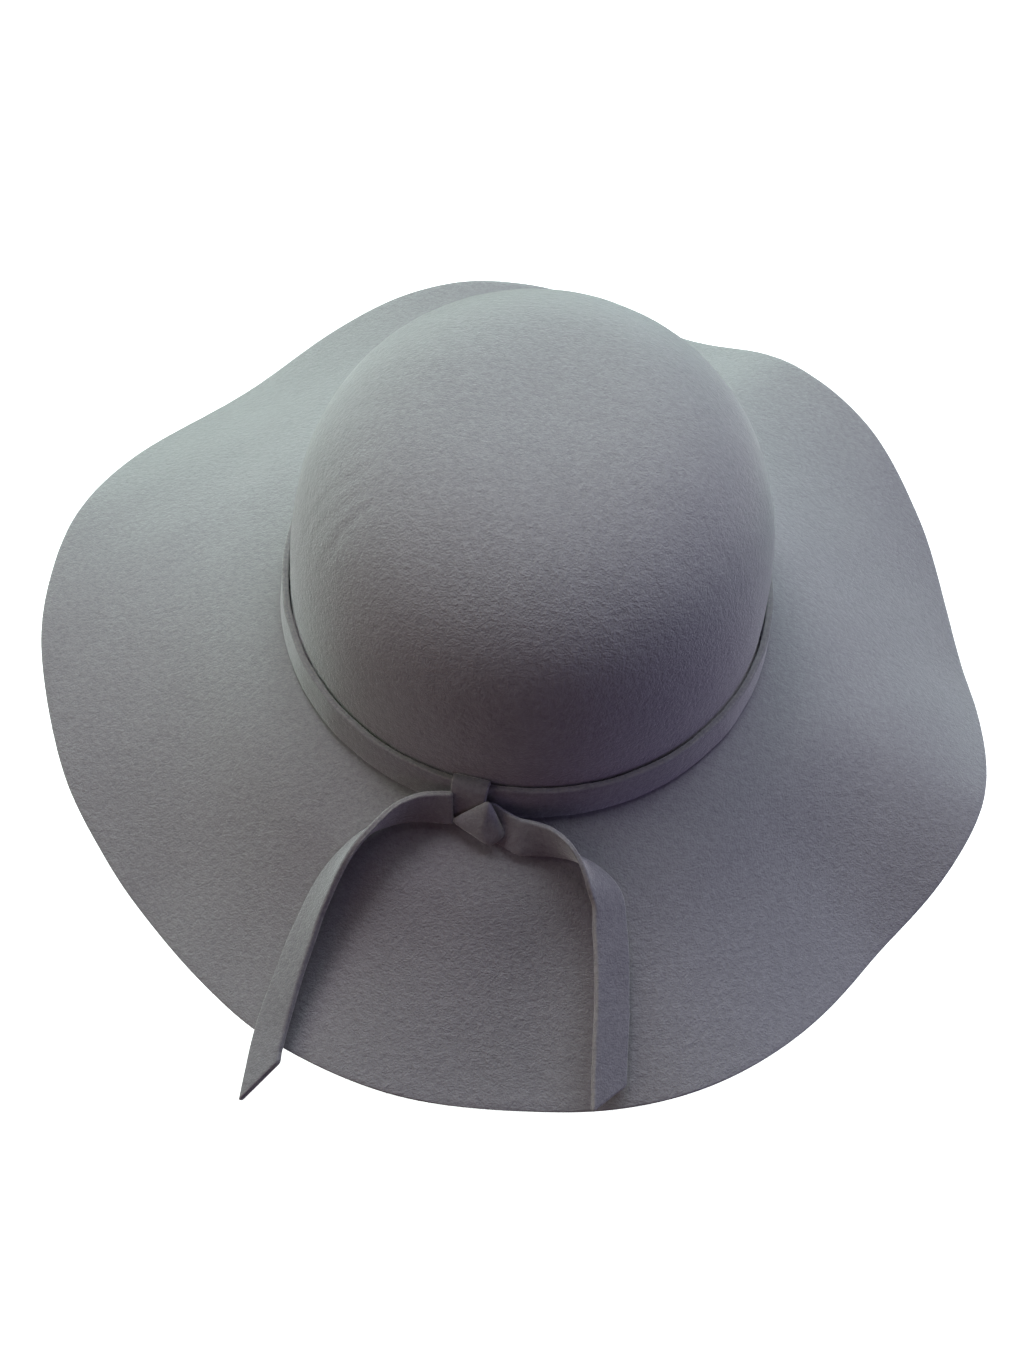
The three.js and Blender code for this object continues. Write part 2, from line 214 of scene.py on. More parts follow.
def newGroup(name, inputs, outputs):
    tree = bpy.data.node_groups.new(name, "ShaderNodeTree")
    for label, kind, value in inputs:
        socket = tree.interface.new_socket(name=label, in_out="INPUT", socket_type=kind)
        socket.default_value = value
    for label, kind in outputs:
        tree.interface.new_socket(name=label, in_out="OUTPUT", socket_type=kind)
    start = tree.nodes.new("NodeGroupInput")
    end = tree.nodes.new("NodeGroupOutput")
    return tree, start, end


def noiseNode(tree, scale, detail, roughness):
    node = tree.nodes.new("ShaderNodeTexNoise")
    node.inputs["Scale"].default_value = scale
    node.inputs["Detail"].default_value = detail
    node.inputs["Roughness"].default_value = roughness
    return node


def mathNode(tree, operation, a, b=None):
    node = tree.nodes.new("ShaderNodeMath")
    node.operation = operation
    for socket, value in zip(node.inputs, (a, b)):
        if value is None:
            continue
        if isinstance(value, (int, float)):
            socket.default_value = value
        else:
            tree.links.new(value, socket)
    return node.outputs[0]


# layers of the nap: noise scale, detail, roughness and how strongly it shows
napLayers = {
    "fine": (1500.0, 3.0, 0.62, 0.80),
    "coarse": (520.0, 2.0, 0.5, 0.70),
    "patch": (26.0, 3.0, 0.5, 0.16),
    "cloud": (95.0, 3.0, 0.55, 0.10),
}
# fibres that lie along the felt; swirl is how far, and over what, their way wanders
lyingFibres = {
    "scale": 1150.0, "detail": 2.0, "roughness": 0.6, "stretch": (0.34, 1.0, 0.8), "turn": -0.62,
    "swirl": 0.012, "swirlScale": 30.0, "tone": 0.35, "relief": 0.27,
}
napRelief = 0.68


# pressed wool: fine nap over soft mottling, with fibres lying on it
def makeNapGroup():
    tree, start, end = newGroup(
        "feltNap",
        [(label, "NodeSocketFloat", 1.0) for label in ("Nap", "Mottle", "Fibres")],
        [("Tone", "NodeSocketFloat"), ("Height", "NodeSocketFloat")],
    )
    where = tree.nodes.new("ShaderNodeTexCoord").outputs["Object"]

    def centred(node):
        return mathNode(tree, "SUBTRACT", node.outputs["Fac"], 0.5)

    def layer(name):
        scale, detail, roughness, strength = napLayers[name]
        node = noiseNode(tree, scale, detail, roughness)
        tree.links.new(where, node.inputs["Vector"])
        return mathNode(tree, "MULTIPLY", centred(node), strength)

    # the fibres don't all lie one way
    swirl = noiseNode(tree, lyingFibres["swirlScale"], 1.0, 0.5)
    bent = tree.nodes.new("ShaderNodeVectorMath")
    bent.operation = "MULTIPLY_ADD"
    bent.inputs[1].default_value = (lyingFibres["swirl"],) * 3
    stretch = tree.nodes.new("ShaderNodeMapping")
    stretch.inputs["Rotation"].default_value = (0.0, 0.0, lyingFibres["turn"])
    stretch.inputs["Scale"].default_value = lyingFibres["stretch"]
    streak = noiseNode(tree, lyingFibres["scale"], lyingFibres["detail"], lyingFibres["roughness"])
    tree.links.new(where, swirl.inputs["Vector"])
    tree.links.new(swirl.outputs["Color"], bent.inputs[0])
    tree.links.new(where, bent.inputs[2])
    tree.links.new(bent.outputs[0], stretch.inputs["Vector"])
    tree.links.new(stretch.outputs[0], streak.inputs["Vector"])

    grain = mathNode(tree, "ADD", layer("fine"), layer("coarse"))
    lying = mathNode(tree, "MULTIPLY", centred(streak), start.outputs["Fibres"])
    shown = mathNode(tree, "ADD", grain, mathNode(tree, "MULTIPLY", lying, lyingFibres["tone"]))
    nap = mathNode(tree, "MULTIPLY", shown, start.outputs["Nap"])
    relief = mathNode(tree, "ADD", mathNode(tree, "MULTIPLY", grain, napRelief),
                      mathNode(tree, "MULTIPLY", lying, lyingFibres["relief"]))
    soft = mathNode(tree, "ADD", layer("patch"), layer("cloud"))
    mottle = mathNode(tree, "MULTIPLY", soft, start.outputs["Mottle"])
    tone = mathNode(tree, "ADD", mathNode(tree, "ADD", nap, mottle), 0.5)
    tree.links.new(tone, end.inputs["Tone"])
    tree.links.new(mathNode(tree, "ADD", relief, 0.5), end.inputs["Height"])
    return tree


# how the painted highlight on cut edges is broken up: noise scale, threshold and contrast
cutHighlightBreak = {"scale": 850.0, "threshold": 0.36, "contrast": 3.2}


# where felt was cut, its colour is painted paler in broken patches: a painted highlight of light caught on its
# open fibres
def makeCutHighlightGroup():
    tree, start, end = newGroup(
        "paintedCutHighlight",
        [("Amount", "NodeSocketFloat", 1.0)],
        [("Mask", "NodeSocketFloat")],
    )
    where = tree.nodes.new("ShaderNodeTexCoord").outputs["Object"]
    edge = tree.nodes.new("ShaderNodeAttribute")
    edge.attribute_name = "cutEdge"
    broken = noiseNode(tree, cutHighlightBreak["scale"], 3.0, 0.6)
    tree.links.new(where, broken.inputs["Vector"])
    above = mathNode(tree, "SUBTRACT", broken.outputs["Fac"], cutHighlightBreak["threshold"])
    rough = mathNode(tree, "MULTIPLY", above, cutHighlightBreak["contrast"])
    kept = mathNode(tree, "MINIMUM", mathNode(tree, "MAXIMUM", rough, 0.0), 1.0)
    brokenHighlight = mathNode(tree, "MULTIPLY", edge.outputs["Fac"], kept)
    mask = mathNode(tree, "MULTIPLY", brokenHighlight, start.outputs["Amount"])
    tree.links.new(mask, end.inputs["Mask"])
    return tree


ribShadeAndWear = {"scale": 700.0, "ribShadeShare": 0.55, "wornShare": 0.45}


# ribs across a woven ribbon, from the piece's own lengthwise measure; their colour is paler on the ridges and
# darker in the grooves, painted shade in step with the bump, mixed with worn patches
def makeRibGroup():
    tree, start, end = newGroup(
        "wovenRibs",
        [("Pitch", "NodeSocketFloat", 0.9)],
        [("Ridge", "NodeSocketFloat"), ("Tone", "NodeSocketFloat")],
    )
    along = tree.nodes.new("ShaderNodeAttribute")
    along.attribute_name = "along"
    where = tree.nodes.new("ShaderNodeTexCoord").outputs["Object"]
    worn = noiseNode(tree, ribShadeAndWear["scale"], 3.0, 0.6)
    tree.links.new(where, worn.inputs["Vector"])
    pitches = mathNode(tree, "DIVIDE", along.outputs["Fac"], start.outputs["Pitch"])
    turns = mathNode(tree, "MULTIPLY", pitches, 2 * math.pi)
    ridge = mathNode(tree, "ADD", mathNode(tree, "MULTIPLY", mathNode(tree, "SINE", turns), 0.5), 0.5)
    # tone: painted shade of the ribs, darker in their grooves, plus worn patches
    tone = mathNode(tree, "ADD", mathNode(tree, "MULTIPLY", ridge, ribShadeAndWear["ribShadeShare"]),
                    mathNode(tree, "MULTIPLY", worn.outputs["Fac"], ribShadeAndWear["wornShare"]))
    tree.links.new(ridge, end.inputs["Ridge"])
    tree.links.new(tone, end.inputs["Tone"])
    return tree


napGroup = makeNapGroup()
cutHighlightGroup = makeCutHighlightGroup()
ribGroup = makeRibGroup()

# roughness, sheen, the sheen's roughness and its tint
surfaces = {
    "felt": (0.95, 1.0, 0.42, (1.0, 1.0, 1.0, 1)),
    "looseWool": (0.9, 0.3, 0.5, (0.95, 0.95, 0.95, 1)),
    "woven": (0.8, 0.15, 0.4, (0.9, 0.9, 0.92, 1)),
    "thread": (0.7, 0.15, 0.4, (0.9, 0.9, 0.92, 1)),
}
dullSpecular = 0.15


def startMaterial(name, surface):
    roughness, sheen, sheenRoughness, sheenTint = surfaces[surface]
    material = bpy.data.materials.new(name)
    material.use_nodes = True
    tree = material.node_tree
    shader = tree.nodes["Principled BSDF"]
    shader.inputs["Roughness"].default_value = roughness
    shader.inputs["Specular IOR Level"].default_value = dullSpecular
    shader.inputs["Sheen Weight"].default_value = sheen
    shader.inputs["Sheen Roughness"].default_value = sheenRoughness
    shader.inputs["Sheen Tint"].default_value = sheenTint
    return material, tree, shader


def placeGroup(tree, group, **values):
    node = tree.nodes.new("ShaderNodeGroup")
    node.node_tree = group
    for label, value in values.items():
        node.inputs[label].default_value = value
    return node


def mixColour(tree, factor, a, b):
    node = tree.nodes.new("ShaderNodeMix")
    node.data_type = "RGBA"
    for index, value in ((0, factor), (6, a), (7, b)):
        if isinstance(value, (int, float, tuple)):
            node.inputs[index].default_value = value
        else:
            tree.links.new(value, node.inputs[index])
    return node.outputs[2]


def bumpFrom(tree, shader, height, strength, distance):
    bump = tree.nodes.new("ShaderNodeBump")
    bump.inputs["Strength"].default_value = strength
    bump.inputs["Distance"].default_value = distance * mm
    tree.links.new(height, bump.inputs["Height"])
    tree.links.new(bump.outputs["Normal"], shader.inputs["Normal"])


# colours run from the shaded pits of the nap to the tips of its fibres; cut is the paler colour of cut edges, a
# painted highlight of light caught on their open fibres
feltLooks = {
    "bodyFelt": {
        "pit": (0.225, 0.220, 0.238, 1), "tip": (0.405, 0.400, 0.422, 1), "cut": (0.46, 0.46, 0.47, 1),
        "nap": 1.0, "mottle": 1.0, "fibres": 0.7, "cutHighlightAmount": 0.5, "bump": 0.8, "bumpDepth": 0.9,
    },
    "strapFelt": {
        "pit": (0.175, 0.170, 0.188, 1), "tip": (0.350, 0.342, 0.366, 1), "cut": (0.42, 0.40, 0.39, 1),
        "nap": 1.0, "mottle": 0.8, "fibres": 0.7, "cutHighlightAmount": 0.7, "bump": 0.7, "bumpDepth": 0.8,
    },
}


def makeFelt(name):
    look = feltLooks[name]
    material, tree, shader = startMaterial(name, "felt")
    nap = placeGroup(tree, napGroup, Nap=look["nap"], Mottle=look["mottle"], Fibres=look["fibres"])
    cut = placeGroup(tree, cutHighlightGroup, Amount=look["cutHighlightAmount"])
    wool = mixColour(tree, nap.outputs["Tone"], look["pit"], look["tip"])
    # cut edges take the paler cut colour, a painted highlight
    colour = mixColour(tree, cut.outputs["Mask"], wool, look["cut"])
    tree.links.new(colour, shader.inputs["Base Color"])
    bumpFrom(tree, shader, nap.outputs["Height"], look["bump"], look["bumpDepth"])
    return material


wovenLooks = {
    "sweatRibbon": {
        "low": (0.085, 0.082, 0.094, 1), "high": (0.20, 0.195, 0.215, 1), "pitch": 0.95,
        "bump": 0.8, "depth": 0.25,
    },
    "labelTape": {
        "low": (0.50, 0.48, 0.44, 1), "high": (0.72, 0.70, 0.66, 1), "pitch": 0.5,
        "bump": 0.5, "depth": 0.08,
    },
}


def makeWoven(name):
    look = wovenLooks[name]
    material, tree, shader = startMaterial(name, "woven")
    ribs = placeGroup(tree, ribGroup, Pitch=look["pitch"])
    # low to high runs from the painted shade in the grooves to the ridges
    colour = mixColour(tree, ribs.outputs["Tone"], look["low"], look["high"])
    tree.links.new(colour, shader.inputs["Base Color"])
    bumpFrom(tree, shader, ribs.outputs["Ridge"], look["bump"], look["depth"])
    return material


looseWoolLook = {"dark": (0.22, 0.215, 0.23, 1), "pale": (0.60, 0.59, 0.60, 1), "scale": 400.0}


def makeLooseWool():
    material, tree, shader = startMaterial("looseWool", "looseWool")
    where = tree.nodes.new("ShaderNodeTexCoord").outputs["Object"]
    mixed = noiseNode(tree, looseWoolLook["scale"], 1.0, 0.5)
    tree.links.new(where, mixed.inputs["Vector"])
    colour = mixColour(tree, mixed.outputs["Fac"], looseWoolLook["dark"], looseWoolLook["pale"])
    tree.links.new(colour, shader.inputs["Base Color"])
    return material


threadLook = {
    "low": (0.10, 0.098, 0.108, 1), "high": (0.27, 0.265, 0.28, 1), "scale": 2600.0,
    "bump": 0.6, "depth": 0.12,
}


def makeThread():
    material, tree, shader = startMaterial("sewingThread", "thread")
    where = tree.nodes.new("ShaderNodeTexCoord").outputs["Object"]
    plies = noiseNode(tree, threadLook["scale"], 2.0, 0.6)
    tree.links.new(where, plies.inputs["Vector"])
    # darker where the same noise sinks the bump: painted shade between the plies
    colour = mixColour(tree, plies.outputs["Fac"], threadLook["low"], threadLook["high"])
    tree.links.new(colour, shader.inputs["Base Color"])
    bumpFrom(tree, shader, plies.outputs["Fac"], threadLook["bump"], threadLook["depth"])
    return material


finishes = {name: makeFelt(name) for name in feltLooks}
finishes.update({name: makeWoven(name) for name in wovenLooks})
finishes["sewingThread"] = makeThread()
finishes["looseWool"] = makeLooseWool()
print("finishes made:", ", ".join(finishes))

# the hat's own surface, which every piece follows

hatBlock = {
    "halfWidth": 86.0, "halfLength": 98.0, "height": 94.5, "squareness": 3.1,
    "thickness": 2.2, "brim": 97.0, "bend": 4.0, "rootFall": 16.0,
    "belly": 0.35,   # share of the brim over which it steepens, before it turns towards its edge's fall
    # round the brim from +X: direction, mean fall and fall at the raw edge, in degrees
    "waves": [
        (8, 25, 30), (55, 8, 0), (73, 15, 14), (100, 7, -2), (138, 22, 28), (170, 14, 9),
        (232, 38, 34), (262, 34, 28), (275, 34, 28), (293, 27, 24), (320, 33, 30), (345, 19, 16),
    ],
}
straight = 1e-4  # an arc that turns less than this, in radians, counts as straight


# each vector made one long
def unit(vectors):
    return vectors / np.linalg.norm(vectors, axis=-1, keepdims=True)


# what is left of each vector square to its axis, made one long
def squareTo(vectors, axis):
    return unit(vectors - axis * (vectors * axis).sum(-1, keepdims=True))


# the mean fall and the fall at the edge
def brimFall(direction):
    first = hatBlock["waves"][0]
    waves = np.array(hatBlock["waves"] + [(first[0] + 360, *first[1:])], float)
    at = waves[:, 0]
    turned = at[0] + np.mod(direction - at[0], 360.0)
    i = np.clip(np.searchsorted(at, turned, side="right") - 1, 0, len(waves) - 2)
    share = (1 - np.cos(np.pi * (turned - at[i]) / (at[i + 1] - at[i]))) / 2
    return [np.radians(fall[i] + (fall[i + 1] - fall[i]) * share) for fall in (waves[:, 1], waves[:, 2])]


def outward(direction):
    a = np.radians(direction)
    n = np.stack([np.cos(a) / hatBlock["halfWidth"], np.sin(a) / hatBlock["halfLength"]], -1)
    return unit(n)


# the level directions along the crown and straight out from it
def sideAndOut(direction):
    n = outward(direction)
    return np.array([-n[1], n[0], 0]), np.array([n[0], n[1], 0])


# a place so far out from the crown's foot, at height z
def besideCrown(direction, out, z):
    direction, out, z = np.broadcast_arrays(*(np.asarray(v, float) for v in (direction, out, z)))
    a = np.radians(direction)
    n = outward(direction)
    return np.stack([
        hatBlock["halfWidth"] * np.cos(a) + n[..., 0] * out,
        hatBlock["halfLength"] * np.sin(a) + n[..., 1] * out, z], -1)


# run is measured along the felt from the bend, lift off its top face; the profile is two arcs
def onBrim(direction, run, lift=0.0):
    direction, run, lift = np.broadcast_arrays(*(np.asarray(v, float) for v in (direction, run, lift)))
    root = math.radians(hatBlock["rootFall"])
    mean, edge = brimFall(direction)
    share = hatBlock["belly"]
    bellyRun = hatBlock["brim"] * share
    belly = 2 * mean - share * root - (1 - share) * edge
    out = hatBlock["bend"] * (1 - math.sin(root))
    z = hatBlock["bend"] * (1 - math.cos(root))
    angle = root
    restRun = hatBlock["brim"] - bellyRun
    arcs = (
        (root, belly, bellyRun, np.minimum(run, bellyRun)),
        (belly, edge, restRun, np.maximum(run - bellyRun, 0)),
    )
    for start, end, length, walked in arcs:
        turn = np.where(np.abs(end - start) < straight, straight, end - start)
        reached = start + turn * walked / length
        out = out + length / turn * (np.sin(reached) - np.sin(start))
        z = z - length / turn * (np.cos(start) - np.cos(reached))
        angle = np.where(walked > 0, reached, angle)
    return besideCrown(direction, out + lift * np.sin(angle), z + lift * np.cos(angle))


# a place on the crown's wall at height z, set in from its outside
def onCrownWall(direction, z, inset):
    direction, z, inset = np.broadcast_arrays(*(np.asarray(v, float) for v in (direction, z, inset)))
    power = hatBlock["squareness"]
    share = (1 - (np.maximum(z, 0) / hatBlock["height"]) ** power) ** (1 / power)
    a = np.radians(direction)
    n = outward(direction)
    return np.stack([
        hatBlock["halfWidth"] * share * np.cos(a) - n[..., 0] * inset,
        hatBlock["halfLength"] * share * np.sin(a) - n[..., 1] * inset, z], -1)


def smoothStep(value, low, high):
    share = np.clip((value - low) / (high - low), 0, 1)
    return share * share * (3 - 2 * share)


# how many waves are mixed, the range of their rates, and what their sum is brought down by
waveMix = {"count": 9, "slowest": 0.65, "fastest": 1.5, "calm": 3.6}


# slow, seeded unevenness between about -1 and 1; size is the length of its waves
def unevenness(points, size, seed):
    draw = np.random.default_rng(seed)
    count = waveMix["count"]
    heading = unit(draw.normal(size=(count, 3)))
    rate = 2 * np.pi / size * draw.uniform(waveMix["slowest"], waveMix["fastest"], count)
    shift = draw.uniform(0, 2 * np.pi, count)
    return np.sin(points @ (heading * rate[:, None]).T + shift).sum(-1) / waveMix["calm"]


# mesh making


def makePiece(name, points, faces, finish, attributes=None):
    mesh = bpy.data.meshes.new(name)
    mesh.from_pydata((np.asarray(points).reshape(-1, 3) * mm).tolist(), [], faces)
    for label, values in (attributes or {}).items():
        layer = mesh.attributes.new(label, "FLOAT", "POINT")
        layer.data.foreach_set("value", np.asarray(values, np.float32).ravel())
    mesh.shade_smooth()
    mesh.materials.append(finishes[finish])
    mesh.validate()
    if signedVolume(mesh) < 0:
        mesh.flip_normals()
    piece = bpy.data.objects.new(name, mesh)
    bpy.context.scene.collection.objects.link(piece)
    return piece


def signedVolume(mesh):
    mesh.calc_loop_triangles()
    corners = np.zeros(len(mesh.loop_triangles) * 3, int)
    mesh.loop_triangles.foreach_get("vertices", corners)
    places = np.zeros(len(mesh.vertices) * 3)
    mesh.vertices.foreach_get("co", places)
    a, b, c = places.reshape(-1, 3)[corners.reshape(-1, 3)].transpose(1, 0, 2)
    return float(np.einsum("ij,ij->i", a, np.cross(b, c)).sum() / 6)


# quads between closed rings of points; the last ring may join the first
def gridFaces(rings, around, closed=False):
    faces = []
    for i in range(rings if closed else rings - 1):
        here, there = i * around, (i + 1) % rings * around
        for j in range(around):
            k = (j + 1) % around
            faces.append((here + j, here + k, there + k, there + j))
    return faces


# fans that close the first and the last ring, each on a point of its own after the rings
def poleFaces(rings, around):
    faces = []
    first = rings * around
    last = first - around
    for j in range(around):
        k = (j + 1) % around
        faces.append((first, k, j))
        faces.append((first + 1, last + j, last + k))
    return faces


# felt body: crown, bend and brim

feltBodyMake = {
    "around": 320, "crownRings": 44, "bendRings": 5, "brimRings": 44, "edgeRings": 6,
    "profileSteps": 4000,
    "edgeRound": 0.9,       # how far the raw edge is rounded back
    "edgeWander": 0.5,      # the edge's cut wanders by this much
    "slackBrim": 0.25,      # the brim's slow unevenness
    "slackCrown": 0.12,
    "pucker": 0.05,         # small pressed-in unevenness
}

# shallow creases where the crown was handled: a place on it (direction, height), the creases' radii round it
crownCreases = {
    "direction": 240.0, "height": 60.0, "radii": (40.0, 48.0, 56.0), "depth": 0.24, "width": 2.0,
    "towards": (-0.36, 0.87, 0.33),   # the side of that place on which they show
    "wander": 1.6, "ridge": 2.6,      # how far each one wanders, and where its raised side lies
}


def crownProfile(inset):
    power = hatBlock["squareness"]
    bend = hatBlock["bend"]
    height = hatBlock["height"]
    lowest = bend / height
    foot = math.asin(lowest ** (power / 2))
    t = np.linspace(math.pi / 2, foot, feltBodyMake["profileSteps"])
    share = np.cos(t) ** (2 / power)
    share[0] = 0.0
    rise = np.sin(t) ** (2 / power)
    z = bend + (height - inset - bend) * (rise - lowest) / (1 - lowest)
    length = np.concatenate([[0], np.cumsum(np.hypot(np.diff(share) * hatBlock["halfWidth"], np.diff(z)))])
    wanted = np.linspace(0, length[-1], feltBodyMake["crownRings"] + 1)[1:]
    return np.interp(wanted, length, share), np.interp(wanted, length, z)


def feltFace(inset, direction):
    share, z = crownProfile(inset)
    a = np.radians(direction)
    crown = np.stack([
        np.outer(share, (hatBlock["halfWidth"] - inset) * np.cos(a)),
        np.outer(share, (hatBlock["halfLength"] - inset) * np.sin(a)),
        np.outer(z, np.ones_like(a))], -1)
    bend = hatBlock["bend"]
    steps = feltBodyMake["bendRings"]
    swing = (math.pi / 2 - math.radians(hatBlock["rootFall"])) * np.arange(1, steps)[:, None] / steps
    reach = bend + inset
    turned = besideCrown(direction[None], bend - reach * np.cos(swing), bend - reach * np.sin(swing))
    run = np.linspace(0, hatBlock["brim"] - feltBodyMake["edgeRound"], feltBodyMake["brimRings"] + 1)[:, None]
    return np.concatenate([crown, turned, onBrim(direction[None], run, -inset)])


def makeFeltBody():
    make = feltBodyMake
    around = make["around"]
    direction = 360.0 * np.arange(around) / around
    thickness = hatBlock["thickness"]
    outer = feltFace(0.0, direction)
    inner = feltFace(thickness, direction)
    through = unit(outer - inner)
    middle = (outer + inner) / 2
    rings = len(outer)
    crownRings = make["crownRings"]
    row = np.arange(rings)[:, None]
    onCrown = 1 - smoothStep(row, crownRings * 0.72, crownRings * 0.95)
    brimStart = crownRings + make["bendRings"]
    onBrimShare = smoothStep(row, brimStart, brimStart + 16)
    relief = onBrimShare * make["slackBrim"] * unevenness(middle, 46.0, 3)
    relief = relief + onCrown * make["slackCrown"] * unevenness(middle, 38.0, 8)
    relief = relief + (onCrown + onBrimShare * 0.7) * make["pucker"] * unevenness(middle, 11.0, 12)
    relief = relief + onCrown * creaseDepth(middle)
    outer = outer + through * relief[..., None]
    inner = inner + through * relief[..., None]

    # the raw edge, rounded from the top face to the underside
    wander = make["edgeWander"] * unevenness(outer[-1], 60.0, 21)
    angle = np.linspace(math.pi / 2, -math.pi / 2, make["edgeRings"] + 2)[1:-1, None]
    bulge = np.cos(angle) ** 0.6
    rise = np.sign(np.sin(angle)) * np.abs(np.sin(angle)) ** 0.8
    centre = (outer[-1] + inner[-1]) / 2
    half = (outer[-1] - inner[-1]) / 2
    forward = unit(outer[-1] - outer[-2])
    reach = make["edgeRound"] + wander
    edge = centre + half * rise[..., None] + forward * (reach * bulge)[..., None]

    grid = np.concatenate([outer, edge, inner[::-1]])
    top = outer[0].mean(0) + np.array([0, 0, hatBlock["height"] - outer[0, 0, 2]])
    under = top - np.array([0, 0, thickness])
    points = np.concatenate([grid.reshape(-1, 3), [top, under]])
    faces = gridFaces(len(grid), around) + poleFaces(len(grid), around)
    # the raw edge is marked for loose fibres and for the paler painted highlight
    cut = np.zeros(len(points))
    cut[rings * around:(rings + make["edgeRings"]) * around] = 1.0
    piece = makePiece("blockedFelt", points, faces, "bodyFelt", {"cutEdge": cut})
    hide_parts("felt_body")
    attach(piece, "hat")
    return piece


def creaseDepth(points):
    make = crownCreases
    centre = onCrownWall(make["direction"], make["height"], 0.0)
    away = points - centre
    distance = np.linalg.norm(away, axis=-1)
    facing = away @ np.array(make["towards"]) / np.maximum(distance, 1e-6)
    mask = smoothStep(facing, 0.72, 0.96)
    depth = np.zeros_like(distance)
    for index, radius in enumerate(make["radii"]):
        bent = distance - radius + make["wander"] * unevenness(points, 30.0, 30 + index)
        depth -= np.exp(-(bent / make["width"]) ** 2) * make["depth"] / (1 + 0.4 * index)
        depth += np.exp(-((bent - make["ridge"]) / make["width"]) ** 2) * make["depth"] * 0.5
    return depth * mask


feltBody = makeFeltBody()
print("felt body:", len(feltBody.data.polygons), "faces")

# strips of felt and ribbon

# steps along a flat side and round a corner; how deep a cut edge is hollowed, and how open it is there, for its
# loose fibres and its painted highlight
stripRings = {"flatSteps": 8, "cornerSteps": 4, "hollow": 0.22, "hollowOpen": 0.25}


# a rounded section: across and through, and how far its fibres stand open, which sets the loose fibres and the
# painted highlight there; a cut edge is a little hollow
def stripSection(width, thickness, corner):
    w, t = width / 2, thickness / 2
    flatSteps = stripRings["flatSteps"]
    cornerSteps = stripRings["cornerSteps"]
    rows = []
    for sideX, sideY, start in ((1, 1, 90), (1, -1, 0), (-1, -1, -90), (-1, 1, -180)):
        for step in range(cornerSteps + 1):
            a = math.radians(start - 90 * step / cornerSteps)
            opened = smoothStep(step if sideX == sideY else cornerSteps - step, 0.8, cornerSteps * 0.8)
            rows.append((sideX * (w - corner) + corner * math.cos(a),
                         sideY * (t - corner) + corner * math.sin(a), float(opened)))
        end, side, _ = rows[-1]
        if sideX == sideY:
            rows.append((sideX * (w - corner * stripRings["hollow"]), 0.0, stripRings["hollowOpen"]))
            continue
        for step in range(1, flatSteps):
            rows.append((end * (1 - 2 * step / flatSteps), side, 0.0))
    section = np.array(rows)
    return section[:, :2], section[:, 2]


# centres, across and through are one row for each step; skew pushes the far edge along the heading
def sweepStrip(name, centres, across, through, width, make, finish, closed=False, skew=None, thin=None):
    section, edge = stripSection(width, make["thickness"], make["corner"])
    count = len(section)
    if closed:
        heading = np.roll(centres, -1, 0) - np.roll(centres, 1, 0)
    else:
        heading = np.gradient(centres, axis=0)
    heading = unit(heading)
    steps = len(centres)
    skew = np.zeros((steps, count)) if skew is None else skew[:, None] * (0.5 + section[None, :, 0] / width)
    thin = np.ones(steps) if thin is None else thin
    grid = (centres[:, None] + across[:, None] * section[None, :, :1]
            + through[:, None] * section[None, :, 1:] * thin[:, None, None]
            + heading[:, None] * skew[..., None])
    length = np.concatenate([[0], np.cumsum(np.linalg.norm(np.diff(centres, axis=0), axis=-1))])
    along = np.repeat(length[:, None], count, 1)
    opened = np.repeat(edge[None], steps, 0)
    slack = make.get("slack", 0.0)
    if slack:
        grid = grid + through[:, None] * (slack * unevenness(grid, 17.0, 40))[..., None]
        grid = grid + across[:, None] * (slack * 0.8 * opened * unevenness(grid, 9.0, 41))[..., None]
    if closed:
        faces = gridFaces(steps, count, closed=True)
        points = grid.reshape(-1, 3)
        marks = {"cutEdge": opened, "along": along, "across": np.repeat(section[None, :, 0], steps, 0)}
        return makePiece(name, points, faces, finish, marks)

    # rounded ends: each next ring stands further out and further in
    corner = make["corner"]
    endSteps = 3
    rings = []
    for side, row in ((-1, 0), (1, -1)):
        middle = grid[row].mean(0)
        offset = grid[row] - middle
        wide = offset @ across[row]
        deep = offset @ through[row]
        lengthwise = offset - wide[:, None] * across[row] - deep[:, None] * through[row]
        rim = []
        for step in range(1, endSteps + 1):
            a = math.pi / 2 * step / endSteps
            inset = corner * (1 - math.cos(a))
            narrower = 1 - inset / (width / 2)
            thinner = 1 - inset / (make["thickness"] / 2)
            rim.append(middle + across[row] * (wide * narrower)[:, None]
                       + through[row] * (deep * thinner)[:, None]
                       + lengthwise * narrower + side * heading[row] * corner * math.sin(a))
        rings.append(rim)
    first, final = rings
    grid = np.concatenate([np.array(first[::-1]), grid, np.array(final)])
    opened = np.concatenate([np.ones((endSteps, count)), opened, np.ones((endSteps, count))])
    along = np.concatenate([np.zeros((endSteps, count)), along, np.full((endSteps, count), length[-1])])
    acrossMarks = np.repeat(section[None, :, 0], len(grid), 0)
    points = np.concatenate([grid.reshape(-1, 3), [grid[0].mean(0), grid[-1].mean(0)]])
    faces = gridFaces(len(grid), count) + poleFaces(len(grid), count)
    marks = {
        "cutEdge": np.append(opened.ravel(), [1, 1]),
        "along": np.append(along.ravel(), [0, length[-1]]),
        "across": np.append(acrossMarks.ravel(), [0, 0]),
    }
    return makePiece(name, points, faces, finish, marks)


strap = {
    "width": 13.0, "thickness": 2.4, "corner": 0.75,
    "slack": 0.12,               # its slow unevenness
    "lift": 1.2, "gap": 0.6,     # above the brim's bend, and off the crown
    "flare": 1.0,                # how much further its lower edge stands out
}
bandSteps = 420


def bandOut(height):
    return strap["gap"] + strap["flare"] * (1 - height / strap["width"])


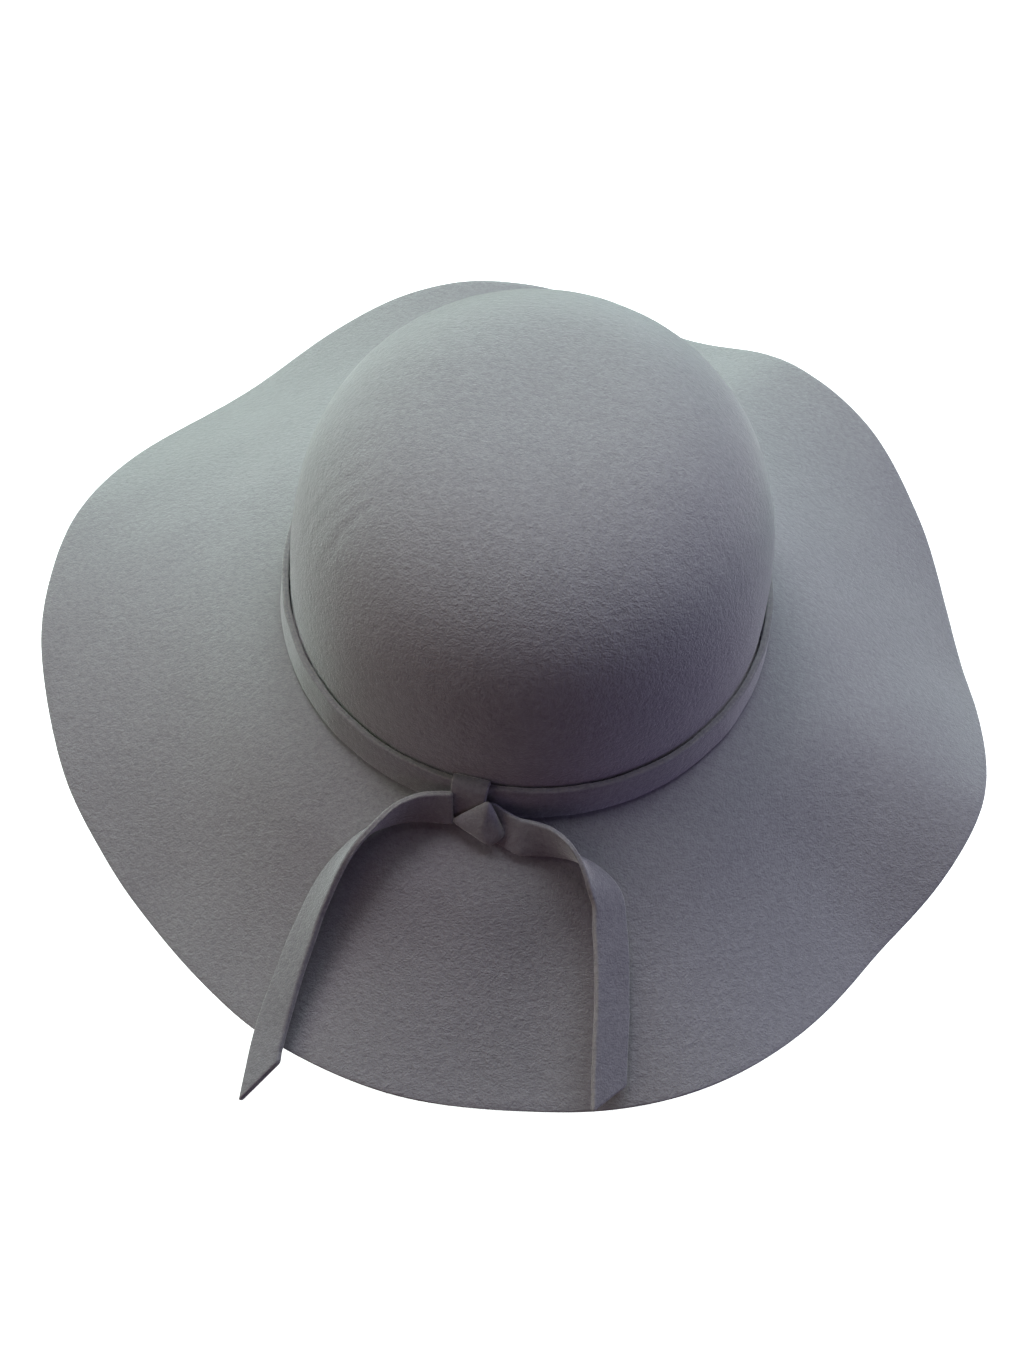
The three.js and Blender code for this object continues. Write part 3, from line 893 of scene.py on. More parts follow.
def makeHatBand():
    direction = 360.0 * np.arange(bandSteps) / bandSteps
    half = strap["thickness"] / 2
    low = besideCrown(direction, bandOut(0) + half, strap["lift"])
    high = besideCrown(direction, bandOut(strap["width"]) + half, strap["lift"] + strap["width"])
    across = unit(high - low)
    through = squareTo(np.concatenate([outward(direction), np.zeros((bandSteps, 1))], -1), across)
    centres = (low + high) / 2
    piece = sweepStrip("hatBandStrap", centres, across, through, strap["width"], strap, "strapFelt",
                       closed=True)
    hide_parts("hat_band")
    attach(piece, "hat")
    return piece


hatBand = makeHatBand()
print("hat band tied round the crown")

# knot: a wrap over the strap and a folded corner under it

knotMake = {
    "direction": 262.5, "gap": 0.35,
    "wrapWidth": 12.5, "wrapThickness": 2.4, "wrapFoot": -0.3, "wrapOver": 1.3, "wrapFlare": 0.8,
    "wrapWaist": 0.7,       # how much the wrap is pulled in at its middle
    "foldWidth": 17.0, "foldFoot": -1.6, "foldDrop": 0.5, "foldRight": 0.7,
    "foldLength": 15.5,     # of the strap that the folded corner takes up
    "foldCover": 2.6,       # how far the fold reaches over the right tail's start
    "foldThickness": 2.9, "foldCorner": 2.3, "foldDome": 1.1,
}
bandFoot = strap["lift"]
bandTop = strap["lift"] + strap["width"]


def bandFace(z):
    return bandOut(z - bandFoot) + strap["thickness"]


# along the strap, out from the crown and up, from the strap's middle at the knot
def atKnot(along, out, z):
    sideways, outwards = sideAndOut(knotMake["direction"])
    foot = besideCrown(knotMake["direction"], 0, 0)
    along, out, z = np.broadcast_arrays(*(np.asarray(v, float) for v in (along, out, z)))
    upwards = np.array([0, 0, 1.0])
    return foot + along[..., None] * sideways + out[..., None] * outwards + z[..., None] * upwards


# a smooth line through points, evenly stepped
def smoothLine(points, steps):
    points = np.asarray(points, float)
    padded = np.concatenate([[2 * points[0] - points[1]], points, [2 * points[-1] - points[-2]]])
    fine = []
    for i in range(len(points) - 1):
        p0, p1, p2, p3 = padded[i:i + 4]
        d0, d1, d2 = (np.linalg.norm(b - a) ** 0.5 for a, b in ((p0, p1), (p1, p2), (p2, p3)))
        m1 = ((p1 - p0) / d0 - (p2 - p0) / (d0 + d1) + (p2 - p1) / d1) * d1
        m2 = ((p2 - p1) / d1 - (p3 - p1) / (d1 + d2) + (p3 - p2) / d2) * d1
        t = np.linspace(0, 1, 60, endpoint=False)[:, None]
        fine.append(p1 + m1 * t + (3 * (p2 - p1) - 2 * m1 - m2) * t ** 2 + (2 * (p1 - p2) + m1 + m2) * t ** 3)
    fine = np.concatenate(fine + [points[-1:]])
    share = np.arange(len(fine)) / (len(fine) - 1)
    length = np.concatenate([[0], np.cumsum(np.linalg.norm(np.diff(fine, axis=0), axis=-1))])
    wanted = np.linspace(0, length[-1], steps)
    line = np.stack([np.interp(wanted, length, fine[:, k]) for k in range(fine.shape[1])], -1)
    return line, np.interp(wanted, length, share)


def makeKnotWrap():
    make = knotMake
    over = bandTop + make["gap"]
    half = make["wrapThickness"] / 2
    # out from the crown and height, from behind the band's top edge over it and down to its foot
    path = [
        (strap["gap"] + 0.5, over + 0.62),
        (bandFace(bandTop) - 0.5, over + 0.72),
        (bandFace(bandTop) + make["gap"] + half * 0.86, over - 0.75),
        (bandFace(bandTop) + make["gap"] + half + 0.25, bandTop - 4.0),
        (bandFace(bandFoot) + make["gap"] + half, bandFoot + 4.4),
        (bandFace(bandFoot) + make["gap"] + half + make["wrapFlare"] / 2 + 0.2, make["wrapFoot"] + 0.9),
    ]
    line, _ = smoothLine(path, 44)
    centres = atKnot(0.0, line[:, 0], line[:, 1])
    heading = unit(np.gradient(centres, axis=0))
    sideways, _ = sideAndOut(make["direction"])
    across = np.repeat(sideways[None], len(centres), 0)
    through = np.cross(across, heading)
    share = np.linspace(0, 1, len(centres))
    thin = make["wrapOver"] / make["wrapThickness"]
    thick = thin + (1 - thin) * smoothStep(share, 0.12, 0.45)
    across = across * (1 - make["wrapWaist"] / make["wrapWidth"] * np.sin(np.pi * share))[:, None]
    knotStrap = {"thickness": make["wrapThickness"], "corner": 0.8, "slack": 0.10}
    piece = sweepStrip("knotWrapStrap", centres, across, through, make["wrapWidth"], knotStrap, "strapFelt",
                       thin=thick)
    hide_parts("knot_wrap")
    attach(piece, "hat")
    return piece


# a kite of felt turned over on itself, thick, with soft corners
def makeKnotFold():
    make = knotMake
    topOut = bandFace(bandTop) + make["wrapThickness"] + 2 * make["gap"] + 1.5
    top = bandTop - make["foldDrop"]
    height = top - make["foldFoot"]
    wide = make["foldWidth"]
    half = make["foldThickness"] / 2
    # the kite's top, left corner, tip and right corner
    corners = np.array([
        atKnot(wide * 0.42, topOut - half * 0.7, top),
        atKnot(-wide * 0.27, topOut + 2.4 - half * 0.7, top - height * 0.82),
        atKnot(wide * 0.49 + make["foldCover"] * 0.8, topOut + 7.8 - half, top - height),
        atKnot(wide * make["foldRight"] + make["foldCover"], topOut + 4.4 - half, top - height * 0.76),
    ])
    rim = roundedOutline(corners, make["foldCorner"], 16)
    count = len(rim)
    centre = corners.mean(0)
    normal = np.cross(corners[2] - corners[0], corners[1] - corners[3])
    normal /= np.linalg.norm(normal)
    _, outwards = sideAndOut(make["direction"])
    if normal @ outwards < 0:
        normal = -normal
    # rings from the front's middle, over the rim, to the back's middle
    shares = [0.08, 0.2, 0.35, 0.5, 0.65, 0.78, 0.88, 0.94, 0.975, 0.993]
    rings = []
    for side, steps in ((1, shares), (0, [1.0]), (-1, shares[::-1])):
        for share in steps:
            rise = side * half * (1 - share ** 9) ** 0.55
            dome = make["foldDome"] * (1 - share ** 2) if side > 0 else 0.0
            rings.append(centre + (rim - centre) * share + normal * (rise + dome))
    grid = np.array(rings)
    grid = grid + normal * (0.16 * unevenness(grid, 7.0, 50))[..., None]
    points = np.concatenate([grid.reshape(-1, 3), [grid[0].mean(0), grid[-1].mean(0)]])
    faces = gridFaces(len(grid), count) + poleFaces(len(grid), count)
    # its rim is marked as cut edge, for loose fibres and a painted highlight
    level = np.array([abs(len(shares) - i) for i in range(len(grid))])
    edge = np.repeat((1 - smoothStep(level, 1, 4))[:, None], count, 1)
    marks = {"cutEdge": np.append(edge.ravel() * 0.6, [0, 0])}
    piece = makePiece("knotCornerFold", points, faces, "strapFelt", marks)
    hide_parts("knot_fold")
    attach(piece, "hat")
    return piece


# a closed line round the corners, each turned over its radius; steps at a corner and along a side
def roundedOutline(corners, radius, steps, sideSteps=14):
    rim = []
    count = len(corners)
    for i in range(count):
        here = corners[i]
        before = corners[i - 1] - here
        after = corners[(i + 1) % count] - here
        start = here + before / np.linalg.norm(before) * radius
        end = here + after / np.linalg.norm(after) * radius
        for t in np.linspace(0, 1, steps):
            rim.append(start * (1 - t) ** 2 + 2 * here * t * (1 - t) + end * t ** 2)
        nextHere = corners[(i + 1) % count]
        nextStart = nextHere + (here - nextHere) / np.linalg.norm(nextHere - here) * radius
        for t in np.linspace(0, 1, sideSteps)[1:-1]:
            rim.append(end * (1 - t) + nextStart * t)
    return np.array(rim)


knotWrap = makeKnotWrap()
knotFold = makeKnotFold()
print("knot tied")

# the strap's two free tails

# a station is direction, run, lift and lean: where the lower edge lies and how the strip leans there,
# 0 flat towards the crown, 90 on edge, 180 flat the other way
tails = {
    "leftTail": {
        "node": "left_tail", "body": "left_tail", "side": 1, "endCut": 14.0,
        "rootAlong": -(knotMake["wrapWidth"] / 2 + 0.2), "root": (6.5, 0, 56),
        "stations": [
            (255, 8, 0, 60), (250, 12, 0, 85), (245.8, 20.3, 0, 110), (242.9, 36.3, 0, 133),
            (242.7, 59, 0, 147), (243.8, 81, 0, 155), (245, 97.5, 0, 159), (247.4, 118, 1.6, 158),
        ],
        "sweep": 4,          # steps over which the raised edge eases its turns
        "bendReach": 16.0,   # over this length the tail gives when it is lifted
        "hidden": 2.5,       # length that carries on inside the knot
        "tuck": 0.0,         # how far it turns in towards the crown there, and over which length
        "tuckReach": 5.0,
    },
    "rightTail": {
        "node": "right_tail", "body": "right_tail", "side": -1, "endCut": -8.0,
        "rootAlong": knotMake["foldWidth"] * knotMake["foldRight"] + 2, "root": (12.6, 0, 33),
        "stations": [
            (275, 12.8, 0, 34), (280, 13.1, 0, 62), (284.9, 15.6, 0, 100), (287.9, 20.5, 0, 136),
            (290, 28.2, 0, 155), (289.7, 39.8, 0, 160), (288.4, 58.2, 0, 160), (286, 88.8, 0, 158),
        ],
        "sweep": 9,
        "bendReach": 16.0,
        "hidden": 6.0,
        "tuck": 5.0,
        "tuckReach": 6.0,
    },
}
tailMake = {"clearance": 0.7, "steps": 150, "cutReach": 20.0, "hiddenSteps": 6, "bendStart": 0.5}
tailBends = {}  # filled as each tail is made: its body, and where it starts and stops giving


def makeTail(name):
    make = tails[name]
    knotTurn = math.radians(knotMake["direction"])
    radius = math.hypot(hatBlock["halfWidth"] * math.sin(knotTurn),
                        hatBlock["halfLength"] * math.cos(knotTurn))
    rootDirection = knotMake["direction"] + math.degrees(make["rootAlong"] / (radius + make["root"][0]))
    stations = np.array([(rootDirection, *make["root"])] + make["stations"], float)
    direction, run, lift, lean = stations.T
    rest = tailMake["clearance"] + strap["thickness"] / 2 * np.abs(np.cos(np.radians(lean)))
    edge, share = smoothLine(onBrim(direction, run, lift + rest), tailMake["steps"])
    upward = onBrim(direction, run, 1.0) - onBrim(direction, run, 0.0)
    place = share * (len(stations) - 1)
    at = np.arange(len(stations))
    normal = np.stack([np.interp(place, at, upward[:, k]) for k in range(3)], -1)
    leaning = np.radians(smoothValues(lean, place))

    hiddenSteps = tailMake["hiddenSteps"]
    step = edge[0] - edge[1]
    step /= np.linalg.norm(step)
    inside = edge[0] + step * (make["hidden"] * np.arange(hiddenSteps, 0, -1) / hiddenSteps)[:, None]
    edge = np.concatenate([inside, edge])
    normal = np.concatenate([np.repeat(normal[:1], hiddenSteps, 0), normal])
    leaning = np.concatenate([np.repeat(leaning[:1], hiddenSteps), leaning])

    heading = unit(np.gradient(edge, axis=0))
    normal = squareTo(normal, heading)
    sideways = np.cross(heading, normal) * make["side"]
    across = sideways * np.cos(leaning)[:, None] + normal * np.sin(leaning)[:, None]
    # the raised edge takes the tight turn in one easy sweep
    raised = edge + across * strap["width"]
    across = unit(eased(raised, make["sweep"]) - edge)
    through = unit(np.cross(heading, across))
    centres = edge + across * strap["width"] / 2
    length = np.concatenate([[0], np.cumsum(np.linalg.norm(np.diff(edge, axis=0), axis=-1))])
    _, outwards = sideAndOut(rootDirection)
    tucked = make["tuck"] * (1 - smoothStep(length, 0, make["hidden"] + make["tuckReach"]))
    centres -= tucked[:, None] * outwards
    skew = -make["endCut"] * smoothStep(length, length[-1] - tailMake["cutReach"], length[-1])
    piece = sweepStrip(name + "Strap", centres, across, through, strap["width"], strap, "strapFelt",
                       skew=skew)

    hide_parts(make["node"])
    root = edge[hiddenSteps] + across[hiddenSteps] * strap["width"] / 2
    start = root + heading[hiddenSteps] * tailMake["bendStart"]
    end = start + heading[hiddenSteps] * make["bendReach"]
    tailBends[piece.name] = (make["body"], tuple(start * mm), tuple(end * mm))
    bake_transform(piece, "hat", make["body"], start=tuple(start * mm), end=tuple(end * mm))
    return piece


# a row of points with its sharp turns worn down over a few steps
def eased(points, steps):
    reach = 3 * steps
    share = np.exp(-0.5 * (np.arange(-reach, reach + 1) / steps) ** 2)
    share /= share.sum()
    before = 2 * points[:1] - points[reach:0:-1]
    after = 2 * points[-1:] - points[-2:-reach - 2:-1]
    padded = np.concatenate([before, points, after])
    return np.stack([np.convolve(padded[:, k], share, "valid") for k in range(points.shape[1])], -1)


# a smooth line through single values, at places counted in stations
def smoothValues(values, place):
    values = np.asarray(values, float)
    padded = np.concatenate([[2 * values[0] - values[1]], values, [2 * values[-1] - values[-2]]])
    i = np.clip(place.astype(int), 0, len(values) - 2)
    t = place - i
    p0, p1, p2, p3 = (padded[i + k] for k in range(4))
    m1, m2 = (p2 - p0) / 2, (p3 - p1) / 2
    return p1 + m1 * t + (3 * (p2 - p1) - 2 * m1 - m2) * t ** 2 + (2 * (p1 - p2) + m1 + m2) * t ** 3


leftTail = makeTail("leftTail")
rightTail = makeTail("rightTail")
print("tails laid on the brim")

# ribbon sweatband inside, its ends lapped at the back

sweatband = {
    "height": 26.0, "thickness": 0.9, "rise": 1.0, "gap": 0.7, "corner": 0.35,
    "ripple": 0.22,         # how far the free upper edge waves in and out
    "ripples": (7, 12),     # two trains of waves round it
    "steps": 520,
    "lapAt": 97.0,          # direction of the lap, clear of the size label
    "lap": 9.0,             # how far one end lies over the other
    "lapLift": 0.75,
}


def makeSweatband():
    make = sweatband
    outer = hatBlock["thickness"] + make["gap"]
    lapTurn = math.degrees(make["lap"] / (hatBlock["halfWidth"] - outer))
    direction = np.linspace(make["lapAt"], make["lapAt"] + 360 + lapTurn, make["steps"])
    # the last stretch climbs over the first one
    lapStart = make["lapAt"] + 360
    lapHeight = make["lapLift"] + make["thickness"] * 0.4
    climb = lapHeight * smoothStep(direction, lapStart - lapTurn * 1.2, lapStart)
    base = outer + make["thickness"] / 2 + climb
    lowZ = make["rise"]
    highZ = make["rise"] + make["height"]
    few, many = make["ripples"]
    turn = direction / 360 * 2 * np.pi
    ripple = make["ripple"] * (np.sin(turn * few) + np.sin(turn * many + 1)) / 2
    low = onCrownWall(direction, lowZ, base)
    middle = onCrownWall(direction, (lowZ + highZ) / 2, base)
    high = onCrownWall(direction, highZ, base + 0.1 + ripple + make["ripple"])
    across = unit(high - low)
    through = squareTo(np.concatenate([-outward(direction), np.zeros((make["steps"], 1))], -1), across)
    belly = ((middle - (low + high) / 2) * through).sum(-1)
    centres = (low + high) / 2
    piece = sweepStrip("sweatbandRibbon", centres, across, through, make["height"], make, "sweatRibbon")
    bowToWall(piece, belly.mean())
    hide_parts("sweatband")
    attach(piece, "hat")
    return piece


# the wall behind the ribbon is curved, so its middle bows out with it
def bowToWall(piece, belly):
    count = len(piece.data.vertices)
    across = np.zeros(count, np.float32)
    piece.data.attributes["across"].data.foreach_get("value", across)
    places = np.zeros(count * 3, np.float32)
    piece.data.vertices.foreach_get("co", places)
    places = places.reshape(-1, 3)
    inward = unit(-places[:, :2])
    share = 1 - (2 * across / sweatband["height"]) ** 2
    places[:, :2] += inward * (share * belly * mm)[:, None]
    piece.data.vertices.foreach_set("co", places.ravel())
    piece.data.update()


makeSweatband()
print("sweatband sewn in")

# size label

sizeLabel = {
    "width": 22.0, "height": 16.0, "thickness": 0.6, "corner": 0.25, "direction": 90.0,
    "drop": 4.0, "gap": 0.6, "curl": 0.5, "steps": 30,
}
sweatbandFace = hatBlock["thickness"] + sweatband["gap"] + sweatband["thickness"]
labelTop = sweatband["rise"] + sweatband["height"] - sizeLabel["drop"]


# how far a straight piece of this length stands off the curved ribbon at its middle
def standOff(length):
    radius = (hatBlock["halfWidth"] - sweatbandFace) ** 2 / (hatBlock["halfLength"] - sweatbandFace)
    return length ** 2 / (8 * radius)


def makeLabel():
    make = sizeLabel
    inset = sweatbandFace + make["gap"] + standOff(make["width"]) + make["thickness"] / 2
    sideways, outwards = sideAndOut(make["direction"])
    top = onCrownWall(make["direction"], labelTop, inset)
    share = np.linspace(0, 1, make["steps"])[:, None]
    centres = top - np.array([0, 0, 1.0]) * share * make["height"] - outwards * make["curl"] * share ** 3
    across = np.repeat(sideways[None], make["steps"], 0)
    through = np.cross(unit(np.gradient(centres, axis=0)), across)
    piece = sweepStrip("sizeLabelTape", centres, across, through, make["width"], make, "labelTape")
    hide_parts("size_label")
    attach(piece, "size_label")
    return piece


makeLabel()
print("size label hung")

# stitches, laid along a line by a node tree


# a node with its settings, and the values of its free sockets
def addNode(tree, kind, values=None, **settings):
    node = tree.nodes.new(kind)
    for label, value in settings.items():
        setattr(node, label, value)
    for label, value in (values or {}).items():
        node.inputs[label].default_value = value
    return node


# a tree that lays small shapes on a given geometry: its sizes, a seed and the finish to set
def newShapeTree(name, source, sizes, finish, result):
    tree = bpy.data.node_groups.new(name, "GeometryNodeTree")
    face = tree.interface
    face.new_socket(name=source, in_out="INPUT", socket_type="NodeSocketGeometry")
    for label, value in sizes.items():
        face.new_socket(name=label, in_out="INPUT", socket_type="NodeSocketFloat").default_value = value
    face.new_socket(name="Seed", in_out="INPUT", socket_type="NodeSocketInt").default_value = 1
    face.new_socket(name=finish, in_out="INPUT", socket_type="NodeSocketMaterial")
    face.new_socket(name=result, in_out="OUTPUT", socket_type="NodeSocketGeometry")
    return tree, addNode(tree, "NodeGroupInput"), addNode(tree, "NodeGroupOutput")


# one shape at each point, made real and given its finish
def layShapes(tree, points, shape, rotation, scale, material, end):
    place = addNode(tree, "GeometryNodeInstanceOnPoints")
    real = addNode(tree, "GeometryNodeRealizeInstances")
    finish = addNode(tree, "GeometryNodeSetMaterial")
    joinSockets(tree, [
        (points, place.inputs["Points"]),
        (shape, place.inputs["Instance"]),
        (rotation, place.inputs["Rotation"]),
        (scale, place.inputs["Scale"]),
        (place.outputs[0], real.inputs[0]),
        (real.outputs[0], finish.inputs["Geometry"]),
        (material, finish.inputs["Material"]),
        (finish.outputs[0], end.inputs[0]),
    ])


def joinSockets(tree, pairs):
    for source, target in pairs:
        tree.links.new(source, target)


stitchWobble = 0.06  # radians by which a hand-laid stitch turns off its line


def makeStitchTree():
    sizes = {"Pitch": 3.0 * mm, "Stitch Length": 2.4 * mm, "Thread Radius": 0.3 * mm, "Slant": 0.0}
    tree, start, end = newShapeTree("sewnStitches", "Line", sizes, "Thread", "Stitches")
    curve = addNode(tree, "GeometryNodeMeshToCurve")
    even = addNode(tree, "GeometryNodeResampleCurve", mode="LENGTH")
    tangent = addNode(tree, "GeometryNodeInputTangent")
    align = addNode(tree, "FunctionNodeAlignRotationToVector", axis="X")
    stitch = addNode(tree, "GeometryNodeMeshUVSphere", {"Segments": 8, "Rings": 5, "Radius": 1.0})
    shape = addNode(tree, "ShaderNodeCombineXYZ")
    halfLength = addNode(tree, "ShaderNodeMath", {1: 0.5}, operation="MULTIPLY")
    wobble = addNode(tree, "FunctionNodeRandomValue", data_type="FLOAT")
    wobble.inputs[2].default_value = -stitchWobble
    wobble.inputs[3].default_value = stitchWobble
    turn = addNode(tree, "ShaderNodeMath", operation="ADD")
    spin = addNode(tree, "ShaderNodeCombineXYZ")
    slant = addNode(tree, "FunctionNodeRotateRotation", rotation_space="LOCAL")
    joinSockets(tree, [
        (start.outputs["Line"], curve.inputs[0]),
        (curve.outputs[0], even.inputs["Curve"]),
        (start.outputs["Pitch"], even.inputs["Length"]),
        (tangent.outputs[0], align.inputs["Vector"]),
        (start.outputs["Stitch Length"], halfLength.inputs[0]),
        (halfLength.outputs[0], shape.inputs["X"]),
        (start.outputs["Thread Radius"], shape.inputs["Y"]),
        (start.outputs["Thread Radius"], shape.inputs["Z"]),
        (start.outputs["Seed"], wobble.inputs["Seed"]),
        (start.outputs["Slant"], turn.inputs[0]),
        (wobble.outputs[1], turn.inputs[1]),
        (turn.outputs[0], spin.inputs["Z"]),
        (align.outputs[0], slant.inputs["Rotation"]),
        (spin.outputs[0], slant.inputs["Rotate By"]),
    ])
    layShapes(tree, even.outputs[0], stitch.outputs[0], slant.outputs[0], shape.outputs[0],
              start.outputs["Thread"], end)
    return tree


def socketOf(tree, name):
    return next(item.identifier for item in tree.interface.items_tree
                if item.item_type == "SOCKET" and item.in_out == "INPUT" and item.name == name)


def bakeTree(piece, tree, values):
    modifier = piece.modifiers.new(tree.name, "NODES")
    modifier.node_group = tree
    for name, value in values.items():
        modifier[socketOf(tree, name)] = value
    bpy.context.view_layer.update()
    ready = piece.evaluated_get(bpy.context.evaluated_depsgraph_get())
    mesh = bpy.data.meshes.new_from_object(ready)
    piece.modifiers.clear()
    piece.data = mesh
    mesh.name = piece.name
    mesh.shade_smooth()
    return piece


def sewLines(name, lines, values):
    mesh = bpy.data.meshes.new(name)
    points, edges = [], []
    for line in lines:
        first = len(points)
        points.extend((np.asarray(line) * mm).tolist())
        edges.extend((first + i, first + i + 1) for i in range(len(line) - 1))
    mesh.from_pydata(points, edges, [])
    piece = bpy.data.objects.new(name, mesh)
    bpy.context.scene.collection.objects.link(piece)
    return bakeTree(piece, stitchTree, {"Thread": finishes["sewingThread"], **values})


stitchTree = makeStitchTree()


looseFibre = {"shortest": 0.35, "lean": 1.0, "spin": 3.14}   # share of its length, and radians


# loose fibres that stand off wherever the felt is open
def makeFuzzTree():
    sizes = {"Density": 1.0, "Fibre Length": 0.8 * mm, "Fibre Radius": 0.05 * mm, "Tilt": 1.0}
    tree, start, end = newShapeTree("looseFibres", "Felt", sizes, "Wool", "Fibres")
    edge = addNode(tree, "GeometryNodeInputNamedAttribute", data_type="FLOAT")
    edge.inputs["Name"].default_value = "cutEdge"
    share = addNode(tree, "ShaderNodeMath", operation="MULTIPLY")
    scatter = addNode(tree, "GeometryNodeDistributePointsOnFaces")
    fibre = addNode(tree, "GeometryNodeMeshCone",
                    {"Vertices": 3, "Radius Top": 0.0, "Radius Bottom": 1.0, "Depth": 1.0})
    lengths = addNode(tree, "FunctionNodeRandomValue", data_type="FLOAT")
    lengths.inputs[2].default_value = looseFibre["shortest"]
    lengths.inputs[3].default_value = 1.0
    tall = addNode(tree, "ShaderNodeMath", operation="MULTIPLY")
    shape = addNode(tree, "ShaderNodeCombineXYZ")
    lean = addNode(tree, "FunctionNodeRandomValue", data_type="FLOAT_VECTOR")
    lean.inputs[0].default_value = (-looseFibre["lean"], -looseFibre["lean"], -looseFibre["spin"])
    lean.inputs[1].default_value = (looseFibre["lean"], looseFibre["lean"], looseFibre["spin"])
    leaning = addNode(tree, "ShaderNodeVectorMath", operation="SCALE")
    tilt = addNode(tree, "FunctionNodeRotateRotation", rotation_space="LOCAL")
    joinSockets(tree, [
        (start.outputs["Felt"], scatter.inputs["Mesh"]),
        (edge.outputs["Attribute"], share.inputs[0]),
        (start.outputs["Density"], share.inputs[1]),
        (share.outputs[0], scatter.inputs["Density"]),
        (start.outputs["Seed"], scatter.inputs["Seed"]),
        (start.outputs["Seed"], lengths.inputs["Seed"]),
        (start.outputs["Seed"], lean.inputs["Seed"]),
        (lengths.outputs[1], tall.inputs[0]),
        (start.outputs["Fibre Length"], tall.inputs[1]),
        (start.outputs["Fibre Radius"], shape.inputs["X"]),
        (start.outputs["Fibre Radius"], shape.inputs["Y"]),
        (tall.outputs[0], shape.inputs["Z"]),
        (lean.outputs[0], leaning.inputs[0]),
        (start.outputs["Tilt"], leaning.inputs["Scale"]),
        (scatter.outputs["Rotation"], tilt.inputs["Rotation"]),
        (leaning.outputs[0], tilt.inputs["Rotate By"]),
    ])
    layShapes(tree, scatter.outputs["Points"], fibre.outputs["Mesh"], tilt.outputs[0], shape.outputs[0],
              start.outputs["Wool"], end)
    return tree


fuzzTree = makeFuzzTree()
fuzz = {"length": 0.75, "radius": 0.045, "tilt": 1.1}  # in millimetres, and how much the fibres lean

# piece, its fibres' name, fibres for each square millimetre of open edge, seed, slot
fuzzyPieces = [
    (feltBody, "brimEdgeFuzz", 0.55, 11, "felt"),
    (hatBand, "bandFuzz", 1.1, 12, "strap_felt"),
    (leftTail, "leftTailFuzz", 1.1, 13, "strap_felt"),
    (rightTail, "rightTailFuzz", 1.1, 14, "strap_felt"),
    (knotWrap, "knotWrapFuzz", 1.1, 15, "strap_felt"),
    (knotFold, "knotFoldFuzz", 1.1, 16, "strap_felt"),
]


def growFuzz(piece, name, density, seed, slot):
    fibres = bpy.data.objects.new(name, piece.data.copy())
    bpy.context.scene.collection.objects.link(fibres)
    values = {
        "Density": density / mm ** 2, "Fibre Length": fuzz["length"] * mm,
        "Fibre Radius": fuzz["radius"] * mm, "Tilt": fuzz["tilt"],
        "Seed": seed, "Wool": finishes["looseWool"],
    }
    bakeTree(fibres, fuzzTree, values)
    for attribute in [a.name for a in fibres.data.attributes if a.name in ("cutEdge", "along", "across")]:
        fibres.data.attributes.remove(fibres.data.attributes[attribute])
    if piece.name in tailBends:
        body, start, end = tailBends[piece.name]
        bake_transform(fibres, "hat", body, start=start, end=end)
    else:
        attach(fibres, "hat")
    return len(fibres.data.polygons)


seam = {"inset": 2.2, "thread": 0.45, "pitch": 3.0, "length": 2.7, "slant": 0.05, "seed": 4, "lineSteps": 720}


def sewSweatband():
    direction = np.linspace(0, 360, seam["lineSteps"] + 1)
    inset = sweatbandFace + knotMake["gap"] + seam["thread"]
    line = onCrownWall(direction, sweatband["rise"] + seam["inset"], inset)
    values = {
        "Pitch": seam["pitch"] * mm, "Stitch Length": seam["length"] * mm,
        "Thread Radius": seam["thread"] * mm, "Slant": seam["slant"], "Seed": seam["seed"],
    }
    piece = sewLines("sweatbandStitches", [line], values)
    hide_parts("sweatband_thread")
    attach(piece, "hat")


labelSeam = {
    "length": 12.0, "thread": 0.4, "pitch": 2.4, "stitch": 2.0, "slant": 0.35, "seed": 5,
    "clearance": 0.45, "lineSteps": 24,
}


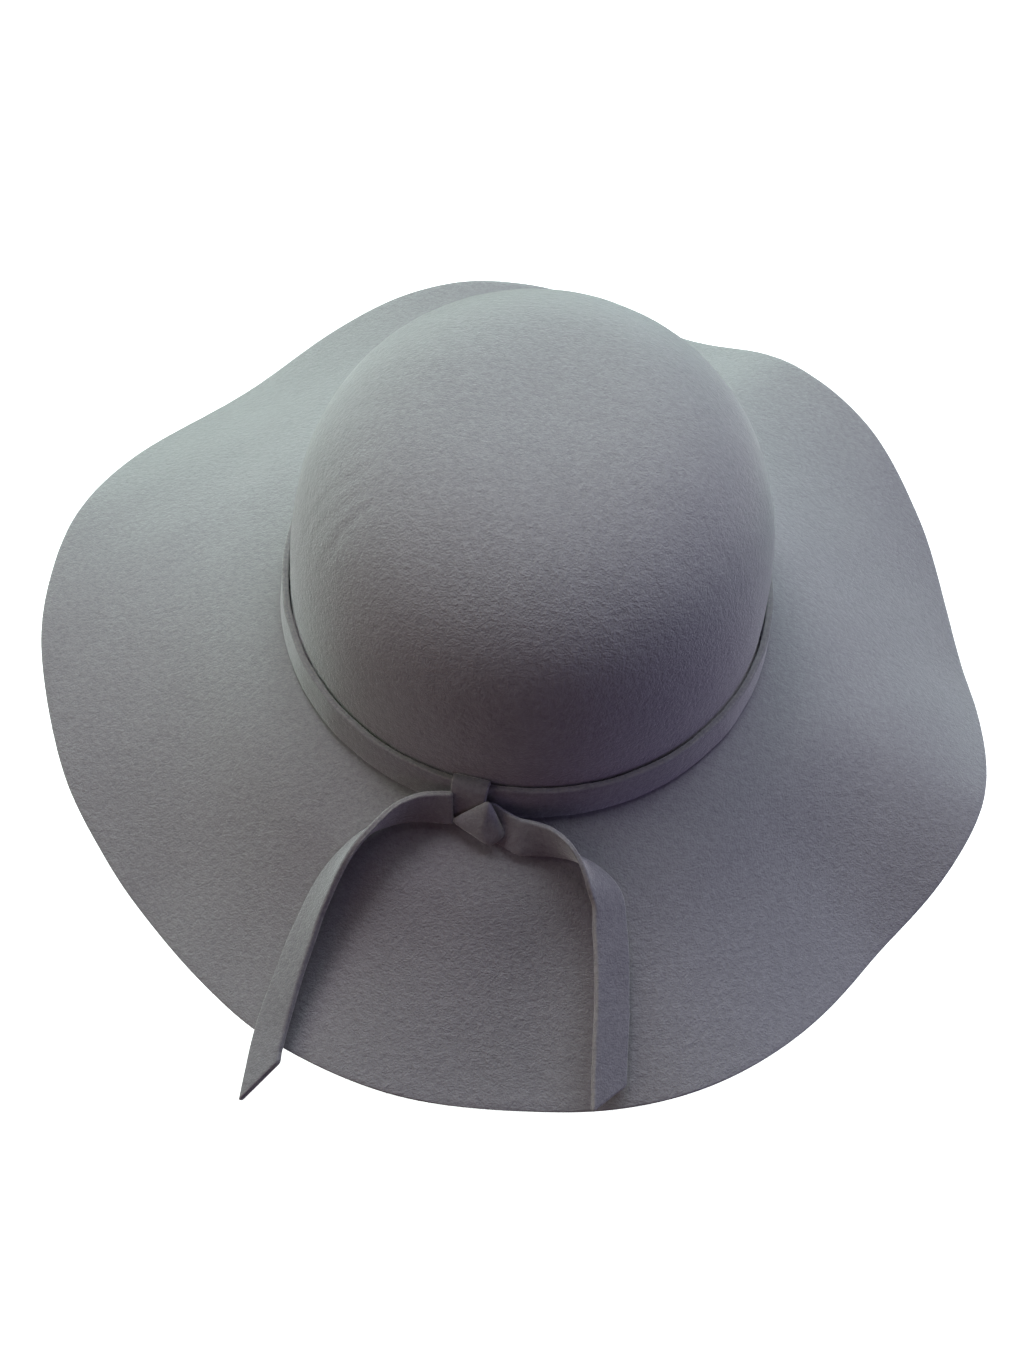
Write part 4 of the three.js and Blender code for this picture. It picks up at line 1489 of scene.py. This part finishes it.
def sewLabel():
    clearance = labelSeam["clearance"]
    inset = sweatbandFace + sizeLabel["gap"] + standOff(labelSeam["length"]) + clearance
    middle = onCrownWall(sizeLabel["direction"], labelTop + knotMake["gap"] + clearance, inset)
    sideways, _ = sideAndOut(sizeLabel["direction"])
    half = labelSeam["length"] / 2 - labelSeam["stitch"] / 2
    line = middle + sideways * np.linspace(-half, half, labelSeam["lineSteps"] + 1)[:, None]
    values = {
        "Pitch": labelSeam["pitch"] * mm, "Stitch Length": labelSeam["stitch"] * mm,
        "Thread Radius": labelSeam["thread"] * mm, "Slant": labelSeam["slant"], "Seed": labelSeam["seed"],
    }
    piece = sewLines("labelStitches", [line], values)
    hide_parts("label_tack")
    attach(piece, "hat")


# node, the piece that stands for it and its direction
bandTacks = [
    ("band_tack_left", "bandTackLeft", 188.0),
    ("band_tack_back", "bandTackBack", 90.0),
    ("band_tack_right", "bandTackRight", 352.0),
]
tackMake = {"length": 5.0, "rise": 3.0, "gap": 0.45, "seed": 6, "stitch": 2.4, "ends": 1.25, "lineSteps": 8}


def sewBandTack(node, name, direction):
    space = bandOut(tackMake["rise"])
    middle = besideCrown(direction, space / 2, strap["lift"] + tackMake["rise"])
    sideways, _ = sideAndOut(direction)
    half = tackMake["length"] / 2 - tackMake["ends"]
    line = middle + sideways * np.linspace(-half, half, tackMake["lineSteps"] + 1)[:, None]
    values = {
        "Pitch": half * 2 * mm, "Stitch Length": tackMake["stitch"] * mm,
        "Thread Radius": (space / 2 - tackMake["gap"]) * mm, "Slant": 0.0, "Seed": tackMake["seed"],
    }
    piece = sewLines(name, [line], values)
    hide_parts(node)
    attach(piece, "hat")


sewSweatband()
sewLabel()
for tack in bandTacks:
    sewBandTack(*tack)
print("stitches sewn")
print("fuzz faces:", sum(growFuzz(*row) for row in fuzzyPieces))

sizes = {name: [list(corner) for corner in box] for name, box in (("cad", cadBox), ("visual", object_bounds()))}
for name, box in sizes.items():
    print(name, [[round(value, 4) for value in corner] for corner in box])
